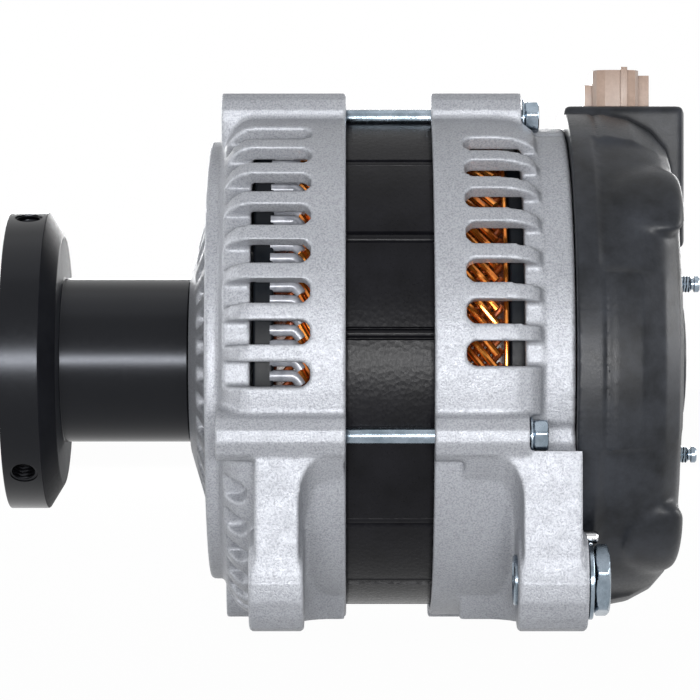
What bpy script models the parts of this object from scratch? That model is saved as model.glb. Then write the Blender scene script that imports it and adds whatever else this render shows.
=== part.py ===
"""Generator alternator head, lying on its side as in the photograph.

The shaft runs along X: the drive hub is at -X and the plastic cover at +X.
Z is up, and the side with the twin mounting lugs faces -Y.
The origin is the centre of the shaft's front end, inside the hub's socket.

A place round the shaft is given by its radius and its angle. The angle is
counted from -Y, upwards, so 0 faces the viewer and 90 is the top.
"""

import math

import bmesh
import bpy
from mathutils import Matrix, Vector

MM = 0.001

# Gaps
CLEAR = 0.3 * MM                 # between two solids that touch
AIR_GAP = 0.5 * MM               # between the rotor's claws and the stator

# Driving sizes: the stator sets the castings, and the shaft the bearings
STATOR_RADIUS = 70.1 * MM
STATOR_LENGTH = 36.2 * MM
SHAFT_RADIUS = 8.5 * MM
HUB_LENGTH = 52.7 * MM
FRONT_BEARING_OUTER = 23.5 * MM
FRONT_BEARING_WIDTH = 14.0 * MM
REAR_BEARING_OUTER = 17.5 * MM
REAR_BEARING_WIDTH = 11.0 * MM

# Drive hub
SOCKET_DEPTH = 13.0 * MM
SOCKET_STAND_OFF = 7.0 * MM      # from the socket's floor to the shaft's end
HUB_FRONT = -SOCKET_DEPTH - SOCKET_STAND_OFF
HUB_BACK = HUB_FRONT + HUB_LENGTH
HUB_NECK_RADIUS = FRONT_BEARING_OUTER
HUB_FLANGE_RADIUS = HUB_NECK_RADIUS + 19.1 * MM
HUB_BACK_RADIUS = HUB_FLANGE_RADIUS - 6.9 * MM
HUB_RIM_LENGTH = 11.0 * MM
HUB_BACK_TAPER = 4.2 * MM
HUB_FILLET = 1.2 * MM
HUB_CHAMFER = 0.6 * MM
SOCKET_RADIUS = HUB_NECK_RADIUS - 3.5 * MM
NUT_RECESS_RADIUS = SOCKET_RADIUS - 4.0 * MM
SET_SCREW_RADIUS = 3.6 * MM
SET_SCREW_LENGTH = 16.0 * MM
SET_SCREW_SETBACK = 6.0 * MM     # from the front face to the screws' axes
SET_SCREW_ANGLES = (72.0, -48.0, 192.0)
SET_SCREW_KEY = 2.0 * MM         # radius of the key socket

# Shaft, nut and spacer
SHAFT_END_CHAMFER = 1.0 * MM
SHAFT_NUT_START = 2.0 * MM
SHAFT_NUT_LENGTH = 10.0 * MM
SHAFT_NUT_FLATS = 24.0 * MM
NUT_SEAT = SHAFT_NUT_START + SHAFT_NUT_LENGTH + CLEAR
SPACER_START = HUB_BACK + CLEAR
SPACER_RADIUS = SHAFT_RADIUS + 4.5 * MM
CORE_SHAFT_RADIUS = SHAFT_RADIUS + 2.0 * MM
TAIL_RADIUS = SHAFT_RADIUS - 1.0 * MM
RING_SHAFT_RADIUS = TAIL_RADIUS - 2.9 * MM

# Front casting, from its nose to its rear edge
NOSE_START = HUB_BACK - 0.9 * MM
NOSE_RADIUS = HUB_NECK_RADIUS + 1.1 * MM
NOSE_LIP = 2.0 * MM
CASTING_RADIUS = STATOR_RADIUS + 2.9 * MM
CASTING_BORE = STATOR_RADIUS - 1.7 * MM
PILOT_RADIUS = STATOR_RADIUS + CLEAR
CONE_END = NOSE_START + 5.2 * MM
CONE_RADIUS = CASTING_RADIUS - 29.4 * MM
FACE_RING_START = CONE_END + 0.6 * MM
FACE_RING_RADIUS = CASTING_RADIUS - 10.2 * MM
SHOULDER_START = FACE_RING_START + 3.6 * MM
SHOULDER_LENGTH = 9.8 * MM
SHOULDER_RISE = 18.3 * MM
SHOULDER_FIRST_ANGLE = 154.0
FRONT_WALL = FACE_RING_START + 6.4 * MM
FRONT_CAVITY = SHOULDER_START + 9.1 * MM
FRONT_CAVITY_STEP = FACE_RING_RADIUS - 0.8 * MM
FRONT_BEARING_START = HUB_BACK + 2.5 * MM
FRONT_BEARING_END = FRONT_BEARING_START + FRONT_BEARING_WIDTH
FRONT_BOSS_RADIUS = FRONT_BEARING_OUTER + 7.5 * MM
FRONT_BOSS_END = FRONT_BEARING_END + 0.8 * MM

# Stator and winding
STATOR_START = FRONT_CAVITY + 19.7 * MM
STATOR_END = STATOR_START + STATOR_LENGTH
STATOR_BORE = STATOR_RADIUS - 18.2 * MM
STATOR_SLOTS = 36
SLOT_DEPTH = 11.0 * MM
SLOT_SHARE = 0.46                # of a slot's pitch that is open
SEAM_COUNT = 16
SEAM_DEPTH = 1.0 * MM
SEAM_HALF_ANGLE = 1.15
WINDING_FRONT = STATOR_START - 14.0 * MM
WINDING_REAR = STATOR_END + 14.4 * MM
WINDING_RADIUS = STATOR_RADIUS - 5.7 * MM
WINDING_WALL = 10.2 * MM
WINDING_GROOVE = 1.6 * MM        # depth between neighbouring conductors
WINDING_TWIST = 15.0             # degrees that the end turns lean over
FRONT_REAR_EDGE = STATOR_START + 6.2 * MM
REAR_FRONT_EDGE = STATOR_END - 6.2 * MM

# Rear casting, from its front edge to its back face
REAR_SHOULDER_START = REAR_FRONT_EDGE + 18.0 * MM
REAR_SHOULDER = 11.5 * MM
BACK_RADIUS = CASTING_RADIUS - 6.5 * MM
REAR_CAVITY = REAR_FRONT_EDGE + 24.6 * MM
REAR_CAVITY_STEP = BACK_RADIUS - 5.0 * MM
REAR_WALL = REAR_FRONT_EDGE + 27.0 * MM
REAR_WALL_BACK = REAR_WALL + 4.0 * MM
REAR_BACK_FACE = REAR_FRONT_EDGE + 38.2 * MM
REAR_BOSS_RADIUS = REAR_BEARING_OUTER + 4.0 * MM
REAR_BOSS_START = REAR_WALL - 3.6 * MM
REAR_BEARING_START = REAR_BOSS_START + 1.0 * MM
REAR_BEARING_END = REAR_BEARING_START + REAR_BEARING_WIDTH
REAR_RIM_INNER = BACK_RADIUS - 6.5 * MM

# Bearings
RACE_WALL = 3.6 * MM
BALL_SHARE = 0.55                # of the room between the shaft and the bore
CAGE_RADIUS = 1.0 * MM           # of the cage's wire between two balls
FRONT_BALL_COUNT = 8
REAR_BALL_COUNT = 9

# Rotor
POLE_RADIUS = STATOR_BORE - AIR_GAP
POLE_LENGTH = 24.35 * MM
POLE_START = (STATOR_START + STATOR_END) / 2.0 - POLE_LENGTH
REAR_POLE_END = POLE_START + 2.0 * POLE_LENGTH
POLE_DISC = 14.0 * MM
POLE_CORE_RADIUS = POLE_RADIUS - 24.4 * MM
CLAW_COUNT = 6
CLAW_LENGTH = POLE_LENGTH * 2.0 - 3.7 * MM
CLAW_ROOT_HALF_ANGLE = 15.0
CLAW_TIP_HALF_ANGLE = 8.0
CLAW_ROOT_DEPTH = 14.0 * MM
CLAW_TIP_DEPTH = 5.0 * MM
POLE_WEB_RADIUS = POLE_RADIUS - CLAW_ROOT_DEPTH + 1.0 * MM
CLAW_INSIDE = (POLE_RADIUS - CLAW_ROOT_DEPTH) * math.cos(math.radians(CLAW_ROOT_HALF_ANGLE))
BOBBIN_RADIUS = CLAW_INSIDE - 2.0 * CLEAR
COIL_RADIUS = BOBBIN_RADIUS - 0.6 * MM
BOBBIN_CHEEK = 1.5 * MM
FAN_RADIUS = POLE_RADIUS - 1.4 * MM
FAN_EYE_RADIUS = FAN_RADIUS - 17.0 * MM
FAN_PLATE = 1.4 * MM
FAN_BLADE_HEIGHT = 9.0 * MM
FAN_BLADE_THICKNESS = 1.4 * MM
FRONT_FAN_BLADES = 9
REAR_FAN_BLADES = 11
FAN_SWEEP = 24.0                 # degrees that a blade leans back

# Vents
VENT_WIDTH = 6.7 * MM
VENT_PITCH = 9.0
VENT_FLOOR = CASTING_BORE - 1.6 * MM
VENT_CORNER = 1.8 * MM
FRONT_VENTS = 8                  # between two neighbouring bolt bosses
REAR_VENTS = 7
FRONT_VENT_END = STATOR_START - 3.4 * MM
REAR_VENT_START = STATOR_END + 2.4 * MM
FACE_SLOTS = 30
FACE_SLOT_INNER = FRONT_BOSS_RADIUS + 3.5 * MM
FACE_SLOT_OUTER = FACE_RING_RADIUS - 4.4 * MM
FACE_SLOT_WIDTH = 6.5 * MM
REAR_SLOTS = 12
REAR_SLOT_INNER = REAR_BOSS_RADIUS + 12.7 * MM
REAR_SLOT_OUTER = REAR_RIM_INNER - 4.5 * MM
REAR_SLOT_WIDTH = 17.0 * MM

# Through bolts and their bosses
BOLT_CIRCLE = STATOR_RADIUS + 1.3 * MM
BOLT_ANGLES = (-16.4, 73.6, 163.6, 253.6)
BOLT_RADIUS = 2.22 * MM
BOLT_BOSS_RADIUS = 6.8 * MM
BOLT_SEAT = REAR_FRONT_EDGE + 25.4 * MM
BOLT_HEAD_FLATS = 8.0 * MM
BOLT_HEAD_LENGTH = 3.7 * MM
BOLT_FLANGE_RADIUS = 5.2 * MM
BOLT_FLANGE = 1.1 * MM
BOLT_TIP = FRONT_CAVITY - 4.3 * MM

# Mounting lugs
LUG_REACH = CASTING_RADIUS + 11.15 * MM      # from the shaft to a lug's hole
LUG_CENTRE = LUG_REACH / math.sqrt(2.0)      # below and in front of the shaft
LUG_RADIUS = 13.7 * MM
LUG_PROUD = 0.5 * MM             # that a boss stands out from its web
LUG_HOLE_RADIUS = 5.2 * MM
LUG_FILLET = 8.0 * MM
LUG_ROOT = CASTING_RADIUS - 4.0 * MM         # along the diagonal
FRONT_LUG_START = FRONT_CAVITY - 0.3 * MM
FRONT_LUG_END = FRONT_LUG_START + 14.9 * MM
FRONT_WEB_START = FRONT_LUG_START + 1.6 * MM
FRONT_WEB_END = FRONT_LUG_END - 1.2 * MM
REAR_LUG_START = REAR_FRONT_EDGE + 22.5 * MM
REAR_LUG_END = REAR_LUG_START + 19.0 * MM
REAR_WEB_START = REAR_LUG_START + 1.3 * MM
REAR_WEB_END = REAR_LUG_END - 1.9 * MM
TOP_LUG_START = FRONT_LUG_START + 2.0 * MM
TOP_LUG_END = TOP_LUG_START + 14.0 * MM
TOP_LUG_HOLE_RADIUS = 3.4 * MM
BUSH_RADIUS = LUG_HOLE_RADIUS + 2.0 * MM
BUSH_TIP = 1.0 * MM              # that the bush stands out in front
BUSH_FLATS = 18.0 * MM
BUSH_HEX_LENGTH = 4.2 * MM
BUSH_TURN = 13.7
BUSH_WASHER_RADIUS = BUSH_FLATS / 2.0 + 1.6 * MM
BUSH_WASHER = 1.2 * MM
PIN_RADIUS = 1.7 * MM
PIN_DEPTH = 6.0 * MM
PIN_STAND = 4.6 * MM

# Retainer
RETAINER_INNER = FRONT_BEARING_OUTER - 2.7 * MM
RETAINER_OUTER = FRONT_BOSS_RADIUS - 0.6 * MM
RETAINER_THICKNESS = 1.7 * MM
RETAINER_SCREWS = 3
RETAINER_CIRCLE = (FRONT_BEARING_OUTER + FRONT_BOSS_RADIUS) / 2.0 + 0.2 * MM
RETAINER_SCREW_RADIUS = 1.4 * MM
RETAINER_SCREW_DEPTH = 7.0 * MM
RETAINER_HEAD_RADIUS = 2.8 * MM
RETAINER_HEAD = 1.4 * MM

# Rear cover
COVER_START = REAR_BACK_FACE + CLEAR
COVER_RADIUS = CASTING_RADIUS - 2.2 * MM
COVER_WALL = 2.5 * MM
COVER_LIP_INNER = BACK_RADIUS - 3.5 * MM
COVER_LIP = 2.0 * MM
COVER_BAND = 7.0 * MM
COVER_GROOVE = 0.8 * MM
COVER_BACK = REAR_BACK_FACE + 30.1 * MM
COVER_BACK_RADIUS = COVER_RADIUS - 15.3 * MM
COVER_CAP_RADIUS = 18.7 * MM
COVER_CAP_BACK = COVER_BACK + 4.3 * MM
BOX_BACK = COVER_BACK + 4.7 * MM
BOX_TOP = COVER_RADIUS + 2.0 * MM
BOX_BOTTOM = COVER_RADIUS - 38.8 * MM
BOX_NEAR = -6.0 * MM
BOX_FAR = 34.0 * MM
BOX_CORNER = 1.6 * MM
BULGE_BACK = COVER_BACK + 0.5 * MM
BULGE_CORNER = 5.0 * MM
UPPER_BULGE = (
    (BULGE_BACK - 19.8 * MM, BULGE_BACK),
    (10.3 * MM - COVER_RADIUS, 50.8 * MM - COVER_RADIUS),
    (COVER_RADIUS - 36.8 * MM, COVER_RADIUS - 17.8 * MM),
)
LOWER_BULGE = (
    (BULGE_BACK - 16.8 * MM, BULGE_BACK),
    (15.8 * MM - COVER_RADIUS, 55.8 * MM - COVER_RADIUS),
    (11.8 * MM - COVER_RADIUS, 32.8 * MM - COVER_RADIUS),
)
OUTPUT_BULGE = (
    (COVER_BACK - 23.0 * MM, COVER_BACK - 1.0 * MM),
    (COVER_RADIUS - 25.8 * MM, COVER_RADIUS - 1.8 * MM),
    (11.0 * MM, 35.0 * MM),
)
COVER_SLOTS = 12
COVER_SLOT_RADIUS = COVER_BACK_RADIUS - 2.5 * MM
COVER_SLOT_WIDTH = 2.6 * MM
COVER_SLOT_ARC = 19.0
BACK_VENTS = 18                  # radial slots round the cover's centre cap
BACK_VENT_INNER = COVER_BACK_RADIUS - 17.0 * MM
BACK_VENT_OUTER = COVER_BACK_RADIUS - 6.5 * MM
BACK_VENT_WIDTH = 3.4 * MM
STUD_ANGLES = (49.0, -71.0, 169.0)
STUD_CIRCLE = REAR_BEARING_OUTER + 11.0 * MM
STUD_RADIUS = 2.4 * MM
STUD_TIP = COVER_BACK + 7.7 * MM
STUD_POST_RADIUS = 5.2 * MM
STUD_NUT_FLATS = 8.0 * MM
STUD_NUT_LENGTH = 4.0 * MM
STUD_RECESS = 3.0 * MM
STUD_RECESS_RADIUS = 6.6 * MM

# Slip rings and brushes
RING_CARRIER_START = REAR_BEARING_END + 2.1 * MM
RING_CARRIER_END = COVER_BACK - 6.8 * MM
RING_CARRIER_RADIUS = RING_SHAFT_RADIUS + 1.8 * MM
RING_RADIUS = RING_CARRIER_RADIUS + 1.5 * MM
RING_WIDTH = 6.4 * MM
RING_CENTRES = (RING_CARRIER_START + 6.5 * MM, RING_CARRIER_START + 16.5 * MM)
BRUSH_LENGTH = 16.0 * MM
BRUSH_WIDTH = 7.0 * MM
BRUSH_THICKNESS = 4.6 * MM
SPRING_LENGTH = 12.0 * MM
SPRING_RADIUS = 1.8 * MM
SPRING_WIRE = 0.35 * MM
SPRING_TURNS = 4
HOLDER_WALL = 1.6 * MM
HOLDER_START = RING_RADIUS + 5.0 * MM
BRUSH_BOTTOM = RING_RADIUS + CLEAR
BRUSH_TOP = BRUSH_BOTTOM + BRUSH_LENGTH
SPRING_BOTTOM = BRUSH_TOP + CLEAR
SPRING_TOP = SPRING_BOTTOM + SPRING_LENGTH
HOLDER_TOP = SPRING_TOP + CLEAR + HOLDER_WALL

# Rectifier and terminal block
RECTIFIER_INNER = STUD_CIRCLE + 6.5 * MM
RECTIFIER_OUTER = BACK_RADIUS - 9.5 * MM
RECTIFIER_START = REAR_BACK_FACE + 2.8 * MM
RECTIFIER_THICKNESS = 3.0 * MM
RECTIFIER_ARC = (-205.0, -15.0)
RECTIFIER_FOOT_ANGLES = (-180.0, -120.0, -60.0)
RECTIFIER_FOOT_RADIUS = 3.4 * MM
DIODE_COUNT = 6
DIODE_RADIUS = 6.2 * MM
DIODE_HEIGHT = 4.0 * MM
TERMINAL_BLOCK_THICKNESS = 3.0 * MM

# Connector
CONNECTOR_X = COVER_BACK - 14.2 * MM
CONNECTOR_Y = 14.0 * MM
CONNECTOR_WIDTH = 13.2 * MM
CONNECTOR_DEPTH = 24.0 * MM
CONNECTOR_HEIGHT = 10.9 * MM
CONNECTOR_WALL = 1.6 * MM
CONNECTOR_CORNER = 3.4 * MM
CONNECTOR_SUNK = 6.0 * MM
PIN_COUNT = 3
PIN_PITCH = 5.6 * MM
PIN_WIDTH = 2.2 * MM
PIN_THICKNESS = 0.9 * MM
PIN_HEIGHT = 11.0 * MM

# Output terminal, through the bulge on the cover's far side
OUTPUT_X = sum(OUTPUT_BULGE[0]) / 2.0
OUTPUT_Z = sum(OUTPUT_BULGE[2]) / 2.0
OUTPUT_FACE = OUTPUT_BULGE[1][1]
OUTPUT_STUD_RADIUS = 3.8 * MM
OUTPUT_STUD_LENGTH = 24.0 * MM
OUTPUT_COLLAR_RADIUS = 9.0 * MM
OUTPUT_COLLAR = 4.0 * MM
OUTPUT_NUT_FLATS = 13.0 * MM
OUTPUT_NUT_LENGTH = 6.5 * MM
OUTPUT_INNER_FLANGE = 2.0 * MM
OUTPUT_HEAD_RADIUS = 7.5 * MM

# Facets round a full turn
CASTING_FACETS = 40
HUB_FACETS = 32
COVER_FACETS = 32
ROUND_FACETS = 20
RACE_FACETS = 16
SMALL_FACETS = 12
POST_FACETS = 8


def clear_scene():
    """Remove every object that the new scene starts with."""
    for obj in list(bpy.data.objects):
        bpy.data.objects.remove(obj, do_unlink=True)


def make_collection(name):
    collection = bpy.data.collections.new(name)
    bpy.context.scene.collection.children.link(collection)
    return collection


clear_scene()
PARTS = make_collection("generator_alternator_head")
CUTTERS = make_collection("cutters")


def make_material(name, colour, roughness, metallic):
    material = bpy.data.materials.new(name)
    material.use_nodes = True
    shader = material.node_tree.nodes["Principled BSDF"]
    shader.inputs["Base Color"].default_value = (*colour, 1.0)
    shader.inputs["Roughness"].default_value = roughness
    shader.inputs["Metallic"].default_value = metallic
    material.diffuse_color = (*colour, 1.0)
    return material


CAST = make_material("cast_aluminium", (0.63, 0.64, 0.66), 0.55, 0.9)
BLACK_HUB = make_material("black_oxide", (0.02, 0.02, 0.025), 0.25, 0.7)
LAMINATION = make_material("black_lamination", (0.03, 0.03, 0.035), 0.45, 0.4)
COPPER = make_material("coated_copper", (0.62, 0.24, 0.05), 0.3, 0.9)
ZINC = make_material("bright_zinc", (0.62, 0.72, 0.76), 0.3, 1.0)
STEEL = make_material("ground_steel", (0.55, 0.55, 0.56), 0.3, 1.0)
POLE_STEEL = make_material("forged_steel", (0.16, 0.16, 0.17), 0.5, 0.8)
PLASTIC = make_material("black_plastic", (0.03, 0.032, 0.035), 0.5, 0.0)
BEIGE = make_material("beige_plastic", (0.72, 0.5, 0.4), 0.5, 0.0)
BRASS = make_material("tinned_brass", (0.75, 0.68, 0.45), 0.3, 1.0)
CARBON = make_material("carbon", (0.05, 0.05, 0.05), 0.7, 0.2)


# Helpers for placing, turning, extruding and cutting

def around(radius, angle):
    """The (y, z) place at a radius and an angle round the shaft."""
    turn = math.radians(angle)
    return -radius * math.cos(turn), radius * math.sin(turn)


def turn_about_x(angle):
    """The turn that takes a shape at angle 0, on -Y, to this angle."""
    return Matrix.Rotation(math.radians(-angle), 4, "X")


def radial_place(x, radius, angle):
    """Placement whose own Z points away from the shaft at this angle."""
    lay_down = Matrix.Rotation(math.radians(90.0), 4, "X")
    outward = Matrix.Translation((0.0, -radius, 0.0)) @ lay_down
    return Matrix.Translation((x, 0.0, 0.0)) @ turn_about_x(angle) @ outward


def hide_cutter(obj):
    obj.hide_render = True
    obj.display_type = "WIRE"


def mesh_object(name, bm, material):
    """Turn a bmesh into a shaded object among the parts."""
    bmesh.ops.recalc_face_normals(bm, faces=bm.faces)
    mesh = bpy.data.meshes.new(name)
    bm.to_mesh(mesh)
    bm.free()
    mesh.materials.append(material)
    mesh.shade_smooth()
    mesh.set_sharp_from_angle(angle=math.radians(32.0))
    obj = bpy.data.objects.new(name, mesh)
    PARTS.objects.link(obj)
    return obj


def cutter_object(name, bm):
    """Turn a bmesh into a tool for a Boolean."""
    bmesh.ops.recalc_face_normals(bm, faces=bm.faces)
    mesh = bpy.data.meshes.new(name)
    bm.to_mesh(mesh)
    bm.free()
    obj = bpy.data.objects.new(name, mesh)
    CUTTERS.objects.link(obj)
    hide_cutter(obj)
    return obj


def boolean(obj, operation, other):
    modifier = obj.modifiers.new(operation.lower() + "_" + other.name, "BOOLEAN")
    modifier.operation = operation
    modifier.object = other
    modifier.solver = "EXACT"


def merge_flats(obj):
    """Merge the flat faces that the cuts have split."""
    modifier = obj.modifiers.new("merge_flats", "DECIMATE")
    modifier.decimate_type = "DISSOLVE"
    modifier.angle_limit = math.radians(0.2)


def cut(obj, other):
    boolean(obj, "DIFFERENCE", other)


def join(obj, other):
    boolean(obj, "UNION", other)


def turned_mesh(name, profile, facets, centre):
    """An object turned along X from a profile of (x, radius) points.

    A profile that starts and ends on the axis makes a full solid; any other is
    closed and makes a ring. The screw turns about the object's own Z, which
    its rotation lays along X. The profile is put in the order that makes the
    faces point outwards.
    """
    points = [(radius, along) for along, radius in profile]
    on_axis = points[0][0] < 1e-9 and points[-1][0] < 1e-9
    area = 0.0
    for first, second in zip(points, points[1:] + points[:1]):
        area += first[0] * second[1] - second[0] * first[1]
    if area > 0.0:
        points.reverse()
    mesh = bpy.data.meshes.new(name)
    vertices = [(radius, 0.0, along) for radius, along in points]
    edges = [(i, i + 1) for i in range(len(points) - 1)]
    if not on_axis:
        edges.append((len(points) - 1, 0))
    mesh.from_pydata(vertices, edges, [])
    obj = bpy.data.objects.new(name, mesh)
    obj.location = (0.0, centre[0], centre[1])
    obj.rotation_euler = (0.0, math.radians(90.0), 0.0)
    screw = obj.modifiers.new("turn", "SCREW")
    screw.axis = "Z"
    screw.angle = math.radians(360.0)
    screw.steps = facets
    screw.render_steps = facets
    screw.use_merge_vertices = True
    screw.merge_threshold = 0.00001
    screw.use_smooth_shade = True
    return obj


def turned(name, profile, facets, material, centre=(0.0, 0.0)):
    obj = turned_mesh(name, profile, facets, centre)
    obj.data.materials.append(material)
    PARTS.objects.link(obj)
    return obj


def turned_cutter(name, profile, facets, centre=(0.0, 0.0)):
    obj = turned_mesh(name, profile, facets, centre)
    CUTTERS.objects.link(obj)
    hide_cutter(obj)
    return obj


def rod_profile(start, end, radius, chamfer=0.0):
    """A plain round bar, with its two end edges chamfered if asked."""
    if chamfer <= 0.0:
        return [(start, 0.0), (start, radius), (end, radius), (end, 0.0)]
    return [
        (start, 0.0),
        (start, radius - chamfer),
        (start + chamfer, radius),
        (end - chamfer, radius),
        (end, radius - chamfer),
        (end, 0.0),
    ]


def ring_profile(start, end, inner, outer):
    return [(start, inner), (start, outer), (end, outer), (end, inner)]


def ellipse_arc(centre_x, centre_r, half_x, half_r, first, last, count):
    """Profile points of an ellipse from one angle to another, 90 being its top."""
    points = []
    for step in range(count + 1):
        turn = math.radians(first + (last - first) * step / count)
        points.append((centre_x + half_x * math.cos(turn), centre_r + half_r * math.sin(turn)))
    return points


def extrude_outline(bm, outline, depth):
    """A prism: the outline is a list of corners, extruded by a vector."""
    face = bm.faces.new([bm.verts.new(point) for point in outline])
    extruded = bmesh.ops.extrude_face_region(bm, geom=[face])
    moved = [item for item in extruded["geom"] if isinstance(item, bmesh.types.BMVert)]
    bmesh.ops.translate(bm, verts=moved, vec=depth)


def yz_prism(bm, outline, start, end):
    """A prism along X from an outline of (y, z) corners."""
    corners = [Vector((start, y, z)) for y, z in outline]
    extrude_outline(bm, corners, Vector((end - start, 0.0, 0.0)))


def xy_prism(bm, outline, bottom, top):
    """A prism along Z from an outline of (x, y) corners."""
    corners = [Vector((x, y, bottom)) for x, y in outline]
    extrude_outline(bm, corners, Vector((0.0, 0.0, top - bottom)))


def box(bm, x_range, y_range, z_range, corner=0.0):
    """A box between the given limits, its edges rounded if asked."""
    size = Vector((x_range[1] - x_range[0], y_range[1] - y_range[0], z_range[1] - z_range[0]))
    centre = Vector((sum(x_range) / 2.0, sum(y_range) / 2.0, sum(z_range) / 2.0))
    place = Matrix.Translation(centre) @ Matrix.Diagonal((*size, 1.0))
    made = bmesh.ops.create_cube(bm, size=1.0, matrix=place)
    if corner > 0.0:
        edges = list({edge for vert in made["verts"] for edge in vert.link_edges})
        bmesh.ops.bevel(
            bm,
            geom=edges,
            offset=corner,
            offset_type="OFFSET",
            segments=2,
            profile=0.5,
            affect="EDGES",
        )


def shrunk(limits, inset):
    """The three ranges of a box, drawn in by a wall."""
    return [(low + inset, high - inset) for low, high in limits]


def circle(centre, radius, facets, phase=0.5):
    """Corners of a circle round a (y, z) place."""
    points = []
    for step in range(facets):
        turn = math.radians(360.0 * (step + phase) / facets)
        points.append((centre[0] + radius * math.cos(turn), centre[1] + radius * math.sin(turn)))
    return points


def hexagon(centre, flats, turn=0.0):
    corner = flats / 2.0 / math.cos(math.radians(30.0))
    return circle(centre, corner, 6, turn / 60.0)


def stepped_rods(name, places, profile, facets):
    """A tool of round rods along X, one at each (y, z) place.

    The profile is (x, radius) points from one end of a rod to the other.
    """
    bm = bmesh.new()
    for place in places:
        rings = []
        for x, radius in profile:
            ring = [bm.verts.new((x, y, z)) for y, z in circle(place, radius, facets)]
            rings.append(ring)
        for first, second in zip(rings, rings[1:]):
            for i in range(facets):
                j = (i + 1) % facets
                bm.faces.new((first[i], first[j], second[j], second[i]))
        bm.faces.new(rings[0])
        bm.faces.new(rings[-1])
    return cutter_object(name, bm)


def straight_holes(name, places, radius, start, end, facets=SMALL_FACETS):
    return stepped_rods(name, places, [(start, radius), (end, radius)], facets)


def hex_nut(name, start, length, flats, bore, centre, material):
    """A hexagon nut along X with a round bore."""
    bm = bmesh.new()
    yz_prism(bm, hexagon(centre, flats), start, start + length)
    nut = mesh_object(name, bm, material)
    cut(nut, straight_holes(name + "_bore", [centre], bore, start - MM, start + length + MM))
    return nut


def bolt_places():
    return [around(BOLT_CIRCLE, angle) for angle in BOLT_ANGLES]


def stud_places():
    return [around(STUD_CIRCLE, angle) for angle in STUD_ANGLES]


def retainer_screw_places():
    step = 360.0 / RETAINER_SCREWS
    return [around(RETAINER_CIRCLE, 45.0 + number * step) for number in range(RETAINER_SCREWS)]


def lug_place(side):
    """Centre of the pivot lugs for side -1, and of the adjusting lug for +1."""
    return side * LUG_CENTRE, side * LUG_CENTRE


def bush_pin_place():
    """The pin stands beside the flat of the bush's hexagon, above it."""
    y, z = lug_place(-1)
    step = BUSH_FLATS / 2.0 / math.cos(math.radians(BUSH_TURN)) + PIN_RADIUS + 2.0 * CLEAR
    return y, z + step


# Drive end: hub, screws, nut and spacer

def make_drive_hub():
    rim_back = HUB_FRONT + HUB_RIM_LENGTH
    taper_back = rim_back + HUB_BACK_TAPER
    socket_floor = HUB_FRONT + SOCKET_DEPTH
    profile = [
        (HUB_FRONT, SOCKET_RADIUS + HUB_CHAMFER),
        (HUB_FRONT, HUB_FLANGE_RADIUS - HUB_CHAMFER),
        (HUB_FRONT + HUB_CHAMFER, HUB_FLANGE_RADIUS),
        (rim_back, HUB_FLANGE_RADIUS),
        (taper_back, HUB_BACK_RADIUS),
        (taper_back, HUB_NECK_RADIUS + HUB_FILLET),
        (taper_back + HUB_FILLET, HUB_NECK_RADIUS),
        (HUB_BACK - HUB_CHAMFER, HUB_NECK_RADIUS),
        (HUB_BACK, HUB_NECK_RADIUS - HUB_CHAMFER),
        (HUB_BACK, SHAFT_RADIUS + CLEAR),
        (NUT_SEAT, SHAFT_RADIUS + CLEAR),
        (NUT_SEAT, NUT_RECESS_RADIUS),
        (socket_floor, NUT_RECESS_RADIUS),
        (socket_floor, SOCKET_RADIUS),
        (HUB_FRONT + HUB_CHAMFER, SOCKET_RADIUS),
    ]
    hub = turned("drive_hub", profile, HUB_FACETS, BLACK_HUB)
    bm = bmesh.new()
    middle = (SOCKET_RADIUS + HUB_FLANGE_RADIUS) / 2.0
    for angle in SET_SCREW_ANGLES:
        bmesh.ops.create_cone(
            bm,
            cap_ends=True,
            segments=SMALL_FACETS,
            radius1=SET_SCREW_RADIUS + CLEAR,
            radius2=SET_SCREW_RADIUS + CLEAR,
            depth=HUB_FLANGE_RADIUS - SOCKET_RADIUS + 8.0 * MM,
            matrix=radial_place(HUB_FRONT + SET_SCREW_SETBACK, middle, angle),
        )
    cut(hub, cutter_object("set_screw_holes", bm))
    return hub


def radial_rod(radius, start, length, angle, facets):
    """A bmesh rod that points away from the shaft, in line with a set screw."""
    bm = bmesh.new()
    bmesh.ops.create_cone(
        bm,
        cap_ends=True,
        segments=facets,
        radius1=radius,
        radius2=radius,
        depth=length,
        matrix=radial_place(HUB_FRONT + SET_SCREW_SETBACK, start + length / 2.0, angle),
    )
    return bm


def make_set_screws():
    """Three headless screws, each with a hexagon key socket in its outer end."""
    screws = []
    inner = SOCKET_RADIUS + MM
    outer = inner + SET_SCREW_LENGTH
    for number, angle in enumerate(SET_SCREW_ANGLES, start=1):
        name = "set_screw_" + str(number)
        body = radial_rod(SET_SCREW_RADIUS, inner, SET_SCREW_LENGTH, angle, SMALL_FACETS)
        screw = mesh_object(name, body, ZINC)
        key = radial_rod(SET_SCREW_KEY, outer - 4.0 * MM, 8.0 * MM, angle, 6)
        cut(screw, cutter_object(name + "_key", key))
        screws.append(screw)
    return screws


def make_shaft_nut():
    bore = SHAFT_RADIUS + CLEAR
    return hex_nut(
        "shaft_nut", SHAFT_NUT_START, SHAFT_NUT_LENGTH, SHAFT_NUT_FLATS, bore, (0.0, 0.0), STEEL
    )


def make_hub_spacer():
    end = FRONT_BEARING_START - CLEAR
    profile = ring_profile(SPACER_START, end, SHAFT_RADIUS + CLEAR, SPACER_RADIUS)
    return turned("hub_spacer", profile, RACE_FACETS, STEEL)


# Rotor

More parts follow.
